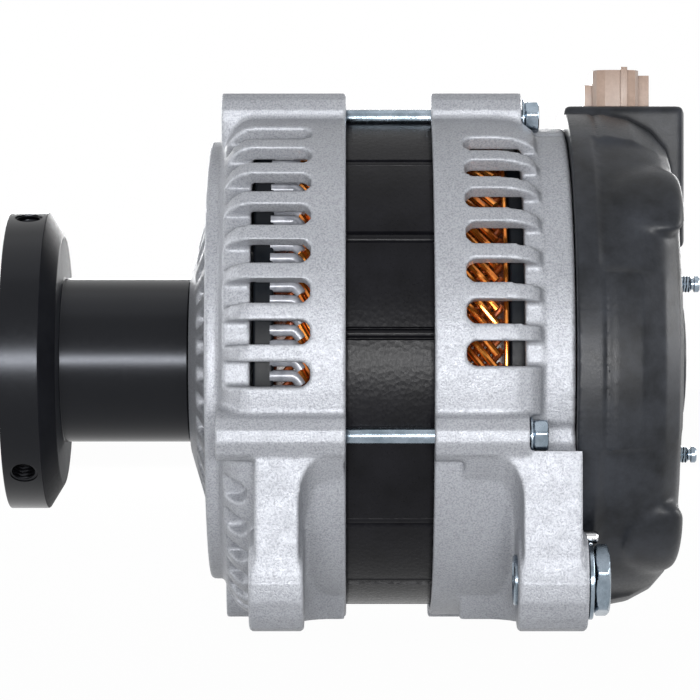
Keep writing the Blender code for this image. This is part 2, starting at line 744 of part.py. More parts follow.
def make_rotor_shaft():
    profile = [
        (0.0, 0.0),
        (0.0, SHAFT_RADIUS - SHAFT_END_CHAMFER),
        (SHAFT_END_CHAMFER, SHAFT_RADIUS),
        (FRONT_BEARING_END + CLEAR, SHAFT_RADIUS),
        (FRONT_BEARING_END + CLEAR, CORE_SHAFT_RADIUS),
        (REAR_BEARING_START - CLEAR, CORE_SHAFT_RADIUS),
        (REAR_BEARING_START - CLEAR, TAIL_RADIUS),
        (REAR_BEARING_END + CLEAR, TAIL_RADIUS),
        (REAR_BEARING_END + CLEAR, RING_SHAFT_RADIUS),
        (RING_CARRIER_END, RING_SHAFT_RADIUS),
        (RING_CARRIER_END, 0.0),
    ]
    return turned("rotor_shaft", profile, RACE_FACETS, STEEL)


def claw_section(x, half_angle, depth):
    """Corners of a claw's cross-section: an arc outside and two corners inside."""
    outer = [around(POLE_RADIUS, share * half_angle) for share in (-1.0, -0.34, 0.34, 1.0)]
    inner = [around(POLE_RADIUS - depth, share * half_angle) for share in (1.0, -1.0)]
    return [Vector((x, y, z)) for y, z in outer + inner]


def add_claw(bm, root, tip, angle):
    """A tapered finger, lofted from its root to its tip."""
    bend = root + (tip - root) * POLE_DISC / CLAW_LENGTH
    stations = (
        (root, CLAW_ROOT_HALF_ANGLE, CLAW_ROOT_DEPTH),
        (bend, CLAW_ROOT_HALF_ANGLE, CLAW_ROOT_DEPTH),
        (tip, CLAW_TIP_HALF_ANGLE, CLAW_TIP_DEPTH),
    )
    turn = turn_about_x(angle)
    rings = []
    for x, half_angle, depth in stations:
        rings.append([bm.verts.new(turn @ corner) for corner in claw_section(x, half_angle, depth)])
    count = len(rings[0])
    for first, second in zip(rings, rings[1:]):
        for i in range(count):
            j = (i + 1) % count
            bm.faces.new((first[i], first[j], second[j], second[i]))
    bm.faces.new(rings[0])
    bm.faces.new(rings[-1])


def make_pole(name, back, forward, first_angle):
    """A claw pole: back is its outer face, and forward is +1 or -1 along X."""
    inner = CORE_SHAFT_RADIUS + CLEAR
    disc = back + forward * POLE_DISC
    core = back + forward * (POLE_LENGTH - CLEAR / 2.0)
    profile = [
        (back, inner),
        (back, POLE_WEB_RADIUS),
        (disc, POLE_WEB_RADIUS),
        (disc, POLE_CORE_RADIUS),
        (core, POLE_CORE_RADIUS),
        (core, inner),
    ]
    pole = turned(name, profile, ROUND_FACETS, POLE_STEEL)
    bm = bmesh.new()
    for claw in range(CLAW_COUNT):
        angle = first_angle + claw * 360.0 / CLAW_COUNT
        root = back + forward * 0.5 * MM
        add_claw(bm, root, root + forward * CLAW_LENGTH, angle)
    join(pole, cutter_object(name + "_claws", bm))
    return pole


def make_field_coil():
    """The field winding on its bobbin, between the two pole discs."""
    start = POLE_START + POLE_DISC + CLEAR
    end = REAR_POLE_END - POLE_DISC - CLEAR
    profile = [
        (start, POLE_CORE_RADIUS + CLEAR),
        (start, BOBBIN_RADIUS),
        (start + BOBBIN_CHEEK, BOBBIN_RADIUS),
        (start + BOBBIN_CHEEK, COIL_RADIUS),
        (end - BOBBIN_CHEEK, COIL_RADIUS),
        (end - BOBBIN_CHEEK, BOBBIN_RADIUS),
        (end, BOBBIN_RADIUS),
        (end, POLE_CORE_RADIUS + CLEAR),
    ]
    return turned("field_coil", profile, ROUND_FACETS, COPPER)


def add_fan_blade(bm, root, tip, angle):
    """A curved blade standing on the fan's plate, swept back as it goes out."""
    steps = 3
    inner_row = []
    outer_row = []
    for step in range(steps + 1):
        share = step / steps
        radius = FAN_EYE_RADIUS + (FAN_RADIUS - MM - FAN_EYE_RADIUS) * share
        lean = angle + FAN_SWEEP * share * share
        half = math.degrees(FAN_BLADE_THICKNESS / 2.0 / radius)
        inner_row.append(Vector((root, *around(radius, lean - half))))
        outer_row.append(Vector((root, *around(radius, lean + half))))
    extrude_outline(bm, inner_row + outer_row[::-1], Vector((tip - root, 0.0, 0.0)))


def make_fan(name, plate_start, direction, blades):
    """A fan: a round plate with blades on the side that faces the vents."""
    plate_end = plate_start + FAN_PLATE
    profile = ring_profile(plate_start, plate_end, CORE_SHAFT_RADIUS + CLEAR, FAN_RADIUS)
    fan = turned(name, profile, ROUND_FACETS, STEEL)
    middle = (plate_start + plate_end) / 2.0
    reach = direction * (FAN_PLATE / 2.0 + FAN_BLADE_HEIGHT)
    bm = bmesh.new()
    for blade in range(blades):
        add_fan_blade(bm, middle, middle + reach, blade * 360.0 / blades)
    join(fan, cutter_object(name + "_blades", bm))
    return fan


def make_slip_rings():
    """The insulating sleeve on the shaft's tail and its two copper rings."""
    inner = RING_SHAFT_RADIUS + CLEAR
    flange = RING_CARRIER_RADIUS + 0.9 * MM
    half = RING_WIDTH / 2.0 + CLEAR
    middle = sum(RING_CENTRES) / 2.0
    wall = (RING_CENTRES[1] - RING_CENTRES[0]) / 2.0 - half
    profile = [
        (RING_CARRIER_START, inner),
        (RING_CARRIER_START, flange),
        (RING_CENTRES[0] - half, flange),
        (RING_CENTRES[0] - half, RING_CARRIER_RADIUS),
        (middle - wall, RING_CARRIER_RADIUS),
        (middle - wall, flange),
        (middle + wall, flange),
        (middle + wall, RING_CARRIER_RADIUS),
        (RING_CENTRES[1] + half, RING_CARRIER_RADIUS),
        (RING_CENTRES[1] + half, flange),
        (RING_CARRIER_END, flange),
        (RING_CARRIER_END, inner),
    ]
    pieces = [turned("slip_ring_carrier", profile, SMALL_FACETS, PLASTIC)]
    for name, centre in zip(("slip_ring_inner", "slip_ring_outer"), RING_CENTRES):
        start = centre - RING_WIDTH / 2.0
        bore = RING_CARRIER_RADIUS + CLEAR
        profile = ring_profile(start, start + RING_WIDTH, bore, RING_RADIUS)
        pieces.append(turned(name, profile, RACE_FACETS, COPPER))
    return pieces


# Bearings

def make_bearing(prefix, start, width, shaft, outer, ball_count):
    """Outer race, inner race, and the balls in their cage ring."""
    end = start + width
    middle = start + width / 2.0
    inner = shaft + CLEAR
    pitch = (inner + outer) / 2.0
    ball_radius = (outer - inner) * BALL_SHARE / 2.0
    track = ball_radius + CLEAR
    land = min((outer - inner) / 2.0 - RACE_WALL, ball_radius * 0.88)
    outer_profile = [
        (start, pitch + land),
        (start, outer),
        (end, outer),
        (end, pitch + land),
        (middle, pitch + track),
    ]
    inner_profile = [
        (start, inner),
        (start, pitch - land),
        (middle, pitch - track),
        (end, pitch - land),
        (end, inner),
    ]
    outer_race = turned(prefix + "_bearing_outer", outer_profile, RACE_FACETS, STEEL)
    inner_race = turned(prefix + "_bearing_inner", inner_profile, RACE_FACETS, STEEL)
    cage = make_cage(prefix + "_bearing_cage", middle, pitch, ball_radius, ball_count)
    return outer_race, inner_race, cage


def make_cage(name, middle, pitch, ball_radius, ball_count):
    """The balls and their cage as one beaded ring, lofted round the shaft."""
    step = 360.0 / ball_count
    shoulder = math.degrees(ball_radius * 0.7 / pitch)
    stations = (
        (0.0, ball_radius),
        (shoulder, ball_radius * 0.7),
        (step / 2.0, CAGE_RADIUS),
        (step - shoulder, ball_radius * 0.7),
    )
    sides = 6
    bm = bmesh.new()
    rings = []
    for ball in range(ball_count):
        for angle, radius in stations:
            turn = turn_about_x(ball * step + angle)
            ring = []
            for side in range(sides):
                sweep = 2.0 * math.pi * side / sides
                corner = Vector(
                    (middle + radius * math.cos(sweep), -pitch - radius * math.sin(sweep), 0.0)
                )
                ring.append(bm.verts.new(turn @ corner))
            rings.append(ring)
    for number, ring in enumerate(rings):
        following = rings[(number + 1) % len(rings)]
        for i in range(sides):
            j = (i + 1) % sides
            bm.faces.new((ring[i], ring[j], following[j], following[i]))
    return mesh_object(name, bm, STEEL)


# Stator

def make_stator_core():
    """The laminated ring, slotted inside and seamed outside."""
    outline = []
    span = 360.0 / SEAM_COUNT - 2.0 * SEAM_HALF_ANGLE
    for seam in range(SEAM_COUNT):
        angle = BOLT_ANGLES[0] + seam * 360.0 / SEAM_COUNT
        floor = STATOR_RADIUS - SEAM_DEPTH
        outline.append(around(STATOR_RADIUS, angle - SEAM_HALF_ANGLE))
        outline.append(around(floor, angle - SEAM_HALF_ANGLE * 0.7))
        outline.append(around(floor, angle + SEAM_HALF_ANGLE * 0.7))
        outline.append(around(STATOR_RADIUS, angle + SEAM_HALF_ANGLE))
        for share in (1.0 / 3.0, 2.0 / 3.0):
            outline.append(around(STATOR_RADIUS, angle + SEAM_HALF_ANGLE + span * share))
    bm = bmesh.new()
    yz_prism(bm, outline, STATOR_START, STATOR_END)
    core = mesh_object("stator_core", bm, LAMINATION)
    bore = []
    pitch = 360.0 / STATOR_SLOTS
    floor = STATOR_BORE + SLOT_DEPTH
    for slot in range(STATOR_SLOTS):
        angle = slot * pitch
        half = pitch * SLOT_SHARE / 2.0
        bore.append(around(STATOR_BORE, angle - half))
        bore.append(around(floor, angle - half))
        bore.append(around(floor, angle + half))
        bore.append(around(STATOR_BORE, angle + half))
    bm = bmesh.new()
    yz_prism(bm, bore, STATOR_START - MM, STATOR_END + MM)
    cut(core, cutter_object("stator_bore", bm))
    reach = BOLT_RADIUS + CLEAR
    start = STATOR_START - MM
    cut(core, straight_holes("bolt_grooves", bolt_places(), reach, start, STATOR_END + MM))
    return core


def add_crown(bm, stations):
    """An end winding lofted through stations of (x, turn).

    Its outside has a lobe for each slot, and its inside is plain.
    """
    pitch = 360.0 / STATOR_SLOTS
    inner_radius = WINDING_RADIUS - WINDING_WALL
    rows = []
    for x, turn in stations:
        outer = []
        inner = []
        for slot in range(STATOR_SLOTS):
            angle = slot * pitch + turn
            hollow = around(WINDING_RADIUS - WINDING_GROOVE, angle - pitch / 2.0)
            outer.append(bm.verts.new((x, *hollow)))
            outer.append(bm.verts.new((x, *around(WINDING_RADIUS, angle))))
            inner.append(bm.verts.new((x, *around(inner_radius, angle))))
        rows.append((outer, inner))
    for first, second in zip(rows, rows[1:]):
        for side in (0, 1):
            count = len(first[side])
            for i in range(count):
                j = (i + 1) % count
                bm.faces.new((first[side][i], first[side][j], second[side][j], second[side][i]))
    for outer, inner in (rows[0], rows[-1]):
        for i in range(STATOR_SLOTS):
            j = (i + 1) % STATOR_SLOTS
            hollow = (2 * i + 2) % (2 * STATOR_SLOTS)
            crest = (2 * i + 3) % (2 * STATOR_SLOTS)
            bm.faces.new((outer[2 * i + 1], outer[hollow], outer[crest], inner[j], inner[i]))


def make_winding():
    """The bar winding: two twisted crowns and the bars through the slots."""
    overhang = 1.5 * MM
    front_root = STATOR_START - overhang
    rear_root = STATOR_END + overhang
    bm = bmesh.new()
    add_crown(bm, ((WINDING_FRONT, -WINDING_TWIST), (front_root, 0.0)))
    add_crown(bm, ((rear_root, 0.0), (WINDING_REAR, WINDING_TWIST)))
    winding = mesh_object("stator_winding", bm, COPPER)
    bars = bmesh.new()
    pitch = 360.0 / STATOR_SLOTS
    floor = STATOR_BORE + SLOT_DEPTH - CLEAR
    inner = WINDING_RADIUS - WINDING_WALL + MM
    half = pitch * SLOT_SHARE / 2.0 - math.degrees(CLEAR / inner)
    for slot in range(STATOR_SLOTS):
        angle = slot * pitch
        outline = [
            around(inner, angle - half),
            around(floor, angle - half),
            around(floor, angle + half),
            around(inner, angle + half),
        ]
        yz_prism(bars, outline, front_root - MM, rear_root + MM)
    join(winding, cutter_object("slot_bars", bars))
    return winding


# Castings

def boss_bars(name, start, end):
    """The four bolt bosses: round ridges with straight flanks."""
    bm = bmesh.new()
    foot = CASTING_BORE - 4.0 * MM
    for angle in BOLT_ANGLES:
        turn = turn_about_x(angle)
        outline = [Vector((start, -foot, -BOLT_BOSS_RADIUS))]
        for step in range(7):
            sweep = math.radians(-90.0 + 180.0 * step / 6.0)
            y = -BOLT_CIRCLE - BOLT_BOSS_RADIUS * math.cos(sweep)
            outline.append(Vector((start, y, BOLT_BOSS_RADIUS * math.sin(sweep))))
        outline.append(Vector((start, -foot, BOLT_BOSS_RADIUS)))
        extrude_outline(bm, [turn @ corner for corner in outline], Vector((end - start, 0.0, 0.0)))
    return cutter_object(name, bm)


def diagonal_place(along, across, side):
    """A (y, z) place from distances along and across a lug's diagonal."""
    half = math.sqrt(0.5)
    return side * along * half + across * half, side * along * half - across * half


def lug_web(name, side, web_start, web_end, fillet_side, root_edge):
    """A lug's web: its end view crossed with its side view.

    side is -1 for the pivot lugs, down and to the front, and +1 for the
    adjusting lug, up and to the back. The end view is a square corner rounded
    round the boss. The side view is straight but for the fillet that spreads
    it into the casting, on the fillet_side.
    """
    radius = LUG_RADIUS - LUG_PROUD
    reach = LUG_CENTRE + radius
    back = 20.0 * MM
    end_view = [(side * reach, side * back)]
    for step in range(7):
        sweep = math.radians(90.0 * step / 6.0)
        y = side * (LUG_CENTRE + radius * math.cos(sweep))
        z = side * (LUG_CENTRE + radius * math.sin(sweep))
        end_view.append((y, z))
    end_view.append((side * back, side * reach))
    end_view.append((side * back, side * back))
    bm = bmesh.new()
    yz_prism(bm, end_view, min(web_start, root_edge), max(web_end, root_edge))
    web = cutter_object(name, bm)

    near = 20.0 * MM
    far = LUG_CENTRE * 2.0
    plain = web_start if fillet_side > 0 else web_end
    curved = web_end if fillet_side > 0 else web_start
    side_view = [(plain, near), (plain, far), (curved, far)]
    for step in range(5):
        sweep = math.radians(90.0 * step / 4.0)
        x = curved + fillet_side * LUG_FILLET * (1.0 - math.cos(sweep))
        side_view.append((x, LUG_ROOT + LUG_FILLET * (1.0 - math.sin(sweep))))
    side_view.append((root_edge, LUG_ROOT))
    side_view.append((root_edge, near))
    half_width = LUG_CENTRE + LUG_RADIUS
    corners = [Vector((x, *diagonal_place(along, -half_width, side))) for x, along in side_view]
    first = Vector((0.0, *diagonal_place(0.0, -half_width, side)))
    last = Vector((0.0, *diagonal_place(0.0, half_width, side)))
    bm = bmesh.new()
    extrude_outline(bm, corners, last - first)
    boolean(web, "INTERSECT", cutter_object(name + "_side", bm))
    return web


def vent_angles(count):
    """Angles of the vents, in groups centred between the bolt bosses."""
    angles = []
    for quadrant in range(4):
        middle = BOLT_ANGLES[0] + 45.0 + 90.0 * quadrant
        for vent in range(count):
            angles.append(middle + (vent - (count - 1) / 2.0) * VENT_PITCH)
    return angles


def in_lug_quadrant(angle):
    """True for the quarter that the pivot lugs stand on."""
    return (angle - BOLT_ANGLES[0]) % 360.0 > 270.0


def vent_cutter(name, cuts):
    """Radial slots from cuts of (angle, open end, closed end).

    The corners of the closed end are cut off.
    """
    bm = bmesh.new()
    top = CASTING_RADIUS + BOLT_BOSS_RADIUS
    half = VENT_WIDTH / 2.0
    for angle, opened, closed in cuts:
        inset = closed + math.copysign(VENT_CORNER, opened - closed)
        outline = [
            (opened, -half),
            (inset, -half),
            (closed, -half + VENT_CORNER),
            (closed, half - VENT_CORNER),
            (inset, half),
            (opened, half),
        ]
        turn = turn_about_x(angle)
        corners = [turn @ Vector((x, -VENT_FLOOR, z)) for x, z in outline]
        extrude_outline(bm, corners, turn @ Vector((0.0, VENT_FLOOR - top, 0.0)))
    return cutter_object(name, bm)


def plate_slots(name, angles, inner, outer, width, start, end):
    """Radial slots through a plate, as wedges that widen outwards."""
    bm = bmesh.new()
    narrow = width * inner / outer
    for angle in angles:
        turn = turn_about_x(angle)
        outline = [
            (-inner, -narrow / 2.0),
            (-outer, -width / 2.0),
            (-outer, width / 2.0),
            (-inner, narrow / 2.0),
        ]
        corners = [turn @ Vector((start, y, z)) for y, z in outline]
        extrude_outline(bm, corners, Vector((end - start, 0.0, 0.0)))
    return cutter_object(name, bm)


def even_angles(count):
    return [(number + 0.5) * 360.0 / count for number in range(count)]


def front_body_profile():
    """The front housing before it is hollowed: its outside and its bearing bore."""
    seat = FRONT_BEARING_START - CLEAR
    bore = FRONT_BEARING_OUTER + CLEAR
    lip = bore - RACE_WALL
    shoulder_end = SHOULDER_START + SHOULDER_LENGTH - 0.8 * MM
    shoulder = ellipse_arc(
        shoulder_end,
        CASTING_RADIUS - SHOULDER_RISE,
        SHOULDER_LENGTH,
        SHOULDER_RISE,
        SHOULDER_FIRST_ANGLE,
        90.0,
        4,
    )
    return [
        (NOSE_START, NOSE_RADIUS),
        (NOSE_START, NOSE_RADIUS + 1.5 * MM),
        (CONE_END, CONE_RADIUS),
        (FACE_RING_START, CONE_RADIUS + MM),
        (FACE_RING_START, FACE_RING_RADIUS - 0.8 * MM),
        (FACE_RING_START + 0.8 * MM, FACE_RING_RADIUS),
        *shoulder,
        (FRONT_REAR_EDGE, CASTING_RADIUS),
        (FRONT_REAR_EDGE, bore),
        (seat, bore),
        (seat, lip),
        (seat - NOSE_LIP, lip),
        (seat - NOSE_LIP, NOSE_RADIUS),
    ]


def front_cavity_profile():
    """The hollow of the front housing, round the bearing boss and behind it."""
    inside = FRONT_BEARING_OUTER - MM
    return [
        (FRONT_WALL, FRONT_BOSS_RADIUS),
        (FRONT_WALL, FRONT_CAVITY_STEP - 5.0 * MM),
        (FRONT_CAVITY, FRONT_CAVITY_STEP),
        (FRONT_CAVITY, CASTING_BORE),
        (STATOR_START - CLEAR, CASTING_BORE),
        (STATOR_START - CLEAR, PILOT_RADIUS),
        (FRONT_REAR_EDGE + MM, PILOT_RADIUS),
        (FRONT_REAR_EDGE + MM, inside),
        (FRONT_BOSS_END, inside),
        (FRONT_BOSS_END, FRONT_BOSS_RADIUS),
    ]


def lug_boss(name, start, end):
    profile = rod_profile(start, end, LUG_RADIUS, HUB_CHAMFER)
    return turned_cutter(name, profile, RACE_FACETS, lug_place(-1))


def make_front_housing():
    housing = turned("front_housing", front_body_profile(), CASTING_FACETS, CAST)
    join(housing, boss_bars("front_bosses", SHOULDER_START, FRONT_REAR_EDGE))
    root_edge = FRONT_REAR_EDGE - 0.5 * MM
    join(housing, lug_web("front_web", -1, FRONT_WEB_START, FRONT_WEB_END, 1, root_edge))
    join(housing, lug_web("top_web", 1, TOP_LUG_START, TOP_LUG_END, 1, root_edge))
    join(housing, lug_boss("front_lug_boss", FRONT_LUG_START, FRONT_LUG_END))
    cuts = []
    for angle in vent_angles(FRONT_VENTS):
        end = FRONT_CAVITY - MM if in_lug_quadrant(angle) else FRONT_VENT_END
        cuts.append((angle, FACE_RING_START - MM, end))
    cut(housing, vent_cutter("front_vents", cuts))
    slots = plate_slots(
        "front_face_slots",
        even_angles(FACE_SLOTS),
        FACE_SLOT_INNER,
        FACE_SLOT_OUTER,
        FACE_SLOT_WIDTH,
        NOSE_START - MM,
        FRONT_WALL + MM,
    )
    cut(housing, slots)
    cut(housing, turned_cutter("front_cavity", front_cavity_profile(), CASTING_FACETS))
    bolt_start = BOLT_TIP - MM
    bolt_hole = BOLT_RADIUS + CLEAR
    bolt_end = FRONT_REAR_EDGE + MM
    places = bolt_places()
    cut(housing, straight_holes("front_bolts", places, bolt_hole, bolt_start, bolt_end, 8))
    screw_holes = straight_holes(
        "retainer_screw_holes",
        retainer_screw_places(),
        RETAINER_SCREW_RADIUS + CLEAR,
        FRONT_BOSS_END - RETAINER_SCREW_DEPTH - CLEAR,
        FRONT_BOSS_END + MM,
        8,
    )
    cut(housing, screw_holes)
    for name, side, radius, start, end in (
        ("front_lug_hole", -1, LUG_HOLE_RADIUS, FRONT_LUG_START, FRONT_LUG_END),
        ("top_lug_hole", 1, TOP_LUG_HOLE_RADIUS, TOP_LUG_START, TOP_LUG_END),
    ):
        hole = straight_holes(name, [lug_place(side)], radius, start - MM, end + MM)
        cut(housing, hole)
    merge_flats(housing)
    return housing


def rear_body_profile():
    """Outside of the rear housing, from its front edge to its back face."""
    rise = CASTING_RADIUS - BACK_RADIUS
    shoulder = ellipse_arc(REAR_SHOULDER_START, BACK_RADIUS, REAR_SHOULDER, rise, 90.0, 0.0, 4)
    return [
        (REAR_FRONT_EDGE, 0.0),
        (REAR_FRONT_EDGE, CASTING_RADIUS),
        *shoulder,
        (REAR_BACK_FACE, BACK_RADIUS),
        (REAR_BACK_FACE, 0.0),
    ]


def rear_cavity_profile():
    """Inside of the rear housing, in front of its plate."""
    seat = REAR_BEARING_END + CLEAR
    bore = REAR_BEARING_OUTER + CLEAR
    lip = bore - RACE_WALL
    return [
        (REAR_FRONT_EDGE - MM, 0.0),
        (REAR_FRONT_EDGE - MM, PILOT_RADIUS),
        (STATOR_END + CLEAR, PILOT_RADIUS),
        (STATOR_END + CLEAR, CASTING_BORE),
        (REAR_CAVITY, CASTING_BORE),
        (REAR_CAVITY, REAR_CAVITY_STEP),
        (REAR_WALL, REAR_CAVITY_STEP - 3.0 * MM),
        (REAR_WALL, REAR_BOSS_RADIUS),
        (REAR_BOSS_START, REAR_BOSS_RADIUS),
        (REAR_BOSS_START, bore),
        (seat, bore),
        (seat, lip),
        (REAR_BACK_FACE + MM, lip),
        (REAR_BACK_FACE + MM, 0.0),
    ]


def make_rear_housing():
    housing = turned("rear_housing", rear_body_profile(), CASTING_FACETS, CAST)
    join(housing, boss_bars("rear_bosses", REAR_FRONT_EDGE, BOLT_SEAT))
    root_edge = REAR_FRONT_EDGE + 8.0 * MM
    join(housing, lug_web("rear_web", -1, REAR_WEB_START, REAR_WEB_END, -1, root_edge))
    join(housing, lug_boss("rear_lug_boss", REAR_LUG_START, REAR_LUG_END))
    opened = REAR_SHOULDER_START + REAR_SHOULDER + MM
    cuts = []
    for angle in vent_angles(REAR_VENTS):
        if not in_lug_quadrant(angle):
            cuts.append((angle, opened, REAR_VENT_START))
    cut(housing, vent_cutter("rear_vents", cuts))
    cut(housing, turned_cutter("rear_cavity", rear_cavity_profile(), CASTING_FACETS))
    pocket = ring_profile(REAR_WALL_BACK, REAR_BACK_FACE + MM, REAR_BOSS_RADIUS, REAR_RIM_INNER)
    cut(housing, turned_cutter("rear_pocket", pocket, CASTING_FACETS))
    slots = plate_slots(
        "rear_face_slots",
        even_angles(REAR_SLOTS),
        REAR_SLOT_INNER,
        REAR_SLOT_OUTER,
        REAR_SLOT_WIDTH,
        REAR_WALL - MM,
        REAR_WALL_BACK + MM,
    )
    cut(housing, slots)
    room = rod_profile(COVER_START - CLEAR / 2.0, REAR_LUG_END + 5.0 * MM, COVER_RADIUS + 2.0 * CLEAR)
    cut(housing, turned_cutter("cover_room", room, CASTING_FACETS))
    hole = BOLT_RADIUS + CLEAR
    seat = BOLT_FLANGE_RADIUS + 0.8 * MM
    bolt_profile = [
        (REAR_FRONT_EDGE - MM, hole),
        (BOLT_SEAT, hole),
        (BOLT_SEAT, seat),
        (COVER_START + 5.0 * MM, seat),
    ]
    cut(housing, stepped_rods("rear_bolt_holes", bolt_places(), bolt_profile, POST_FACETS))
    bush_hole = straight_holes(
        "bush_hole",
        [lug_place(-1)],
        BUSH_RADIUS + CLEAR,
        REAR_LUG_START - MM,
        REAR_LUG_END + MM,
    )
    cut(housing, bush_hole)
    pin_start = REAR_LUG_END - PIN_DEPTH - CLEAR
    pin_hole = PIN_RADIUS + CLEAR
    pin_place = [bush_pin_place()]
    cut(housing, straight_holes("pin_hole", pin_place, pin_hole, pin_start, REAR_LUG_END + MM, 8))
    stud_hole = STUD_RADIUS + CLEAR
    stud_start = REAR_WALL - MM
    stud_end = REAR_WALL_BACK + MM
    cut(housing, straight_holes("stud_holes", stud_places(), stud_hole, stud_start, stud_end, 8))
    merge_flats(housing)
    return housing


# Fasteners

def make_through_bolts():
    bolts = []
    seat = BOLT_SEAT + CLEAR
    for number, centre in enumerate(bolt_places(), start=1):
        profile = [
            (BOLT_TIP, 0.0),
            (BOLT_TIP, BOLT_RADIUS),
            (seat, BOLT_RADIUS),
            (seat, BOLT_FLANGE_RADIUS),
            (seat + BOLT_FLANGE, BOLT_FLANGE_RADIUS - 0.4 * MM),
            (seat + BOLT_FLANGE, 0.0),
        ]
        name = "through_bolt_" + str(number)
        bolt = turned(name, profile, SMALL_FACETS, ZINC, centre)
        bm = bmesh.new()
        head_start = seat + BOLT_FLANGE / 2.0
        head_end = seat + BOLT_FLANGE + BOLT_HEAD_LENGTH
        yz_prism(bm, hexagon(centre, BOLT_HEAD_FLATS, 10.0), head_start, head_end)
        join(bolt, cutter_object(name + "_head", bm))
        merge_flats(bolt)
        bolts.append(bolt)
    return bolts


def make_retainer():
    start = FRONT_BOSS_END + CLEAR
    end = start + RETAINER_THICKNESS
    profile = ring_profile(start, end, RETAINER_INNER, RETAINER_OUTER)
    plate = turned("bearing_retainer", profile, ROUND_FACETS, STEEL)
    hole = RETAINER_SCREW_RADIUS + CLEAR
    places = retainer_screw_places()
    cut(plate, straight_holes("retainer_holes", places, hole, start - MM, end + MM, 8))
    pieces = [plate]
    head = end + CLEAR
    tip = FRONT_BOSS_END - RETAINER_SCREW_DEPTH
    for number, centre in enumerate(places, start=1):
        profile = [
            (tip, 0.0),
            (tip, RETAINER_SCREW_RADIUS),
            (head, RETAINER_SCREW_RADIUS),
            (head, RETAINER_HEAD_RADIUS),
            (head + RETAINER_HEAD, RETAINER_HEAD_RADIUS * 0.8),
            (head + RETAINER_HEAD, 0.0),
        ]
        pieces.append(turned("retainer_screw_" + str(number), profile, 8, STEEL, centre))
    return pieces


def make_lug_bush():
    """The threaded bush in the rear lug, its washer and its locking pin."""
    centre = lug_place(-1)
    washer_start = REAR_LUG_END + CLEAR
    washer_end = washer_start + BUSH_WASHER
    hex_start = washer_end + CLEAR
    hex_end = hex_start + BUSH_HEX_LENGTH
    bm = bmesh.new()
    yz_prism(bm, hexagon(centre, BUSH_FLATS, BUSH_TURN), hex_start, hex_end)
    bush = mesh_object("lug_bush", bm, ZINC)
    shank = straight_holes(
        "bush_shank", [centre], BUSH_RADIUS, REAR_LUG_START - BUSH_TIP, hex_start + MM, 16
    )
    join(bush, shank)
    bore_start = REAR_LUG_START - BUSH_TIP - MM
    cut(bush, straight_holes("bush_bore", [centre], LUG_HOLE_RADIUS, bore_start, hex_end + MM, 16))
    profile = ring_profile(washer_start, washer_end, BUSH_RADIUS + CLEAR, BUSH_WASHER_RADIUS)
    washer = turned("bush_washer", profile, RACE_FACETS, ZINC, centre)
    place = [bush_pin_place()]
    notch = PIN_RADIUS + CLEAR
    cut(washer, straight_holes("notch", place, notch, washer_start - MM, washer_end + MM, 8))
    start = REAR_LUG_END - PIN_DEPTH
    pin_profile = rod_profile(start, REAR_LUG_END + PIN_STAND, PIN_RADIUS, 0.4 * MM)
    pin = turned("bush_pin", pin_profile, 8, STEEL, place[0])
    return [bush, washer, pin]


# Rear cover

def dome_profile(inset, start):
    """The cover's dome from its rim to its back, drawn in by a wall."""
    band_end = COVER_START + COVER_BAND
    back = COVER_BACK - inset
    radius = COVER_RADIUS - inset
    points = [(start, 0.0), (start, radius), (band_end, radius)]
    if inset <= 0.0:
        points.append((band_end + 0.4 * MM, radius - COVER_GROOVE))
    arc = ellipse_arc(
        band_end + 1.2 * MM,
        COVER_BACK_RADIUS - inset,
        back - band_end - 1.2 * MM,
        COVER_RADIUS - COVER_BACK_RADIUS,
        85.0,
        0.0,
        4 if inset <= 0.0 else 3,
    )
    points.extend(arc)
    points.append((back, 0.0))
    return points


def add_to_dome(dome, name, inset, start):
    """Join the connector box, the three bulges and the centre cap to a dome."""
    box_limits = ((COVER_START, BOX_BACK), (BOX_NEAR, BOX_FAR), (BOX_BOTTOM, BOX_TOP))
    solids = [
        ("_box", box_limits, BOX_CORNER),
        ("_upper", UPPER_BULGE, BULGE_CORNER),
        ("_lower", LOWER_BULGE, BULGE_CORNER),
        ("_output", OUTPUT_BULGE, BULGE_CORNER),
    ]
    for label, limits, corner in solids:
        bm = bmesh.new()
        box(bm, *shrunk(limits, inset), corner if inset <= 0.0 else 0.0)
        join(dome, cutter_object(name + label, bm))
    cap_start = COVER_BACK - 10.0 * MM
    cap_back = COVER_CAP_BACK - inset
    cap_radius = COVER_CAP_RADIUS - inset
    cap = [
        (cap_start, 0.0),
        (cap_start, cap_radius),
        (cap_back - 1.2 * MM, cap_radius),
        (cap_back, cap_radius - 1.2 * MM),
        (cap_back, 0.0),
    ]
    join(dome, turned_cutter(name + "_cap", cap, ROUND_FACETS))


def clear_of_raised(radius, angle):
    """True where neither the box nor a bulge stands on the cover's back."""
    y, z = around(radius, angle)
    margin = 5.0 * MM
    box_limits = ((COVER_START, BOX_BACK), (BOX_NEAR, BOX_FAR), (BOX_BOTTOM, BOX_TOP))
    for limits in (box_limits, UPPER_BULGE, LOWER_BULGE, OUTPUT_BULGE):
        beside = limits[1][0] - margin < y < limits[1][1] + margin
        level = limits[2][0] - margin < z < limits[2][1] + margin
        if beside and level:
            return False
    return True


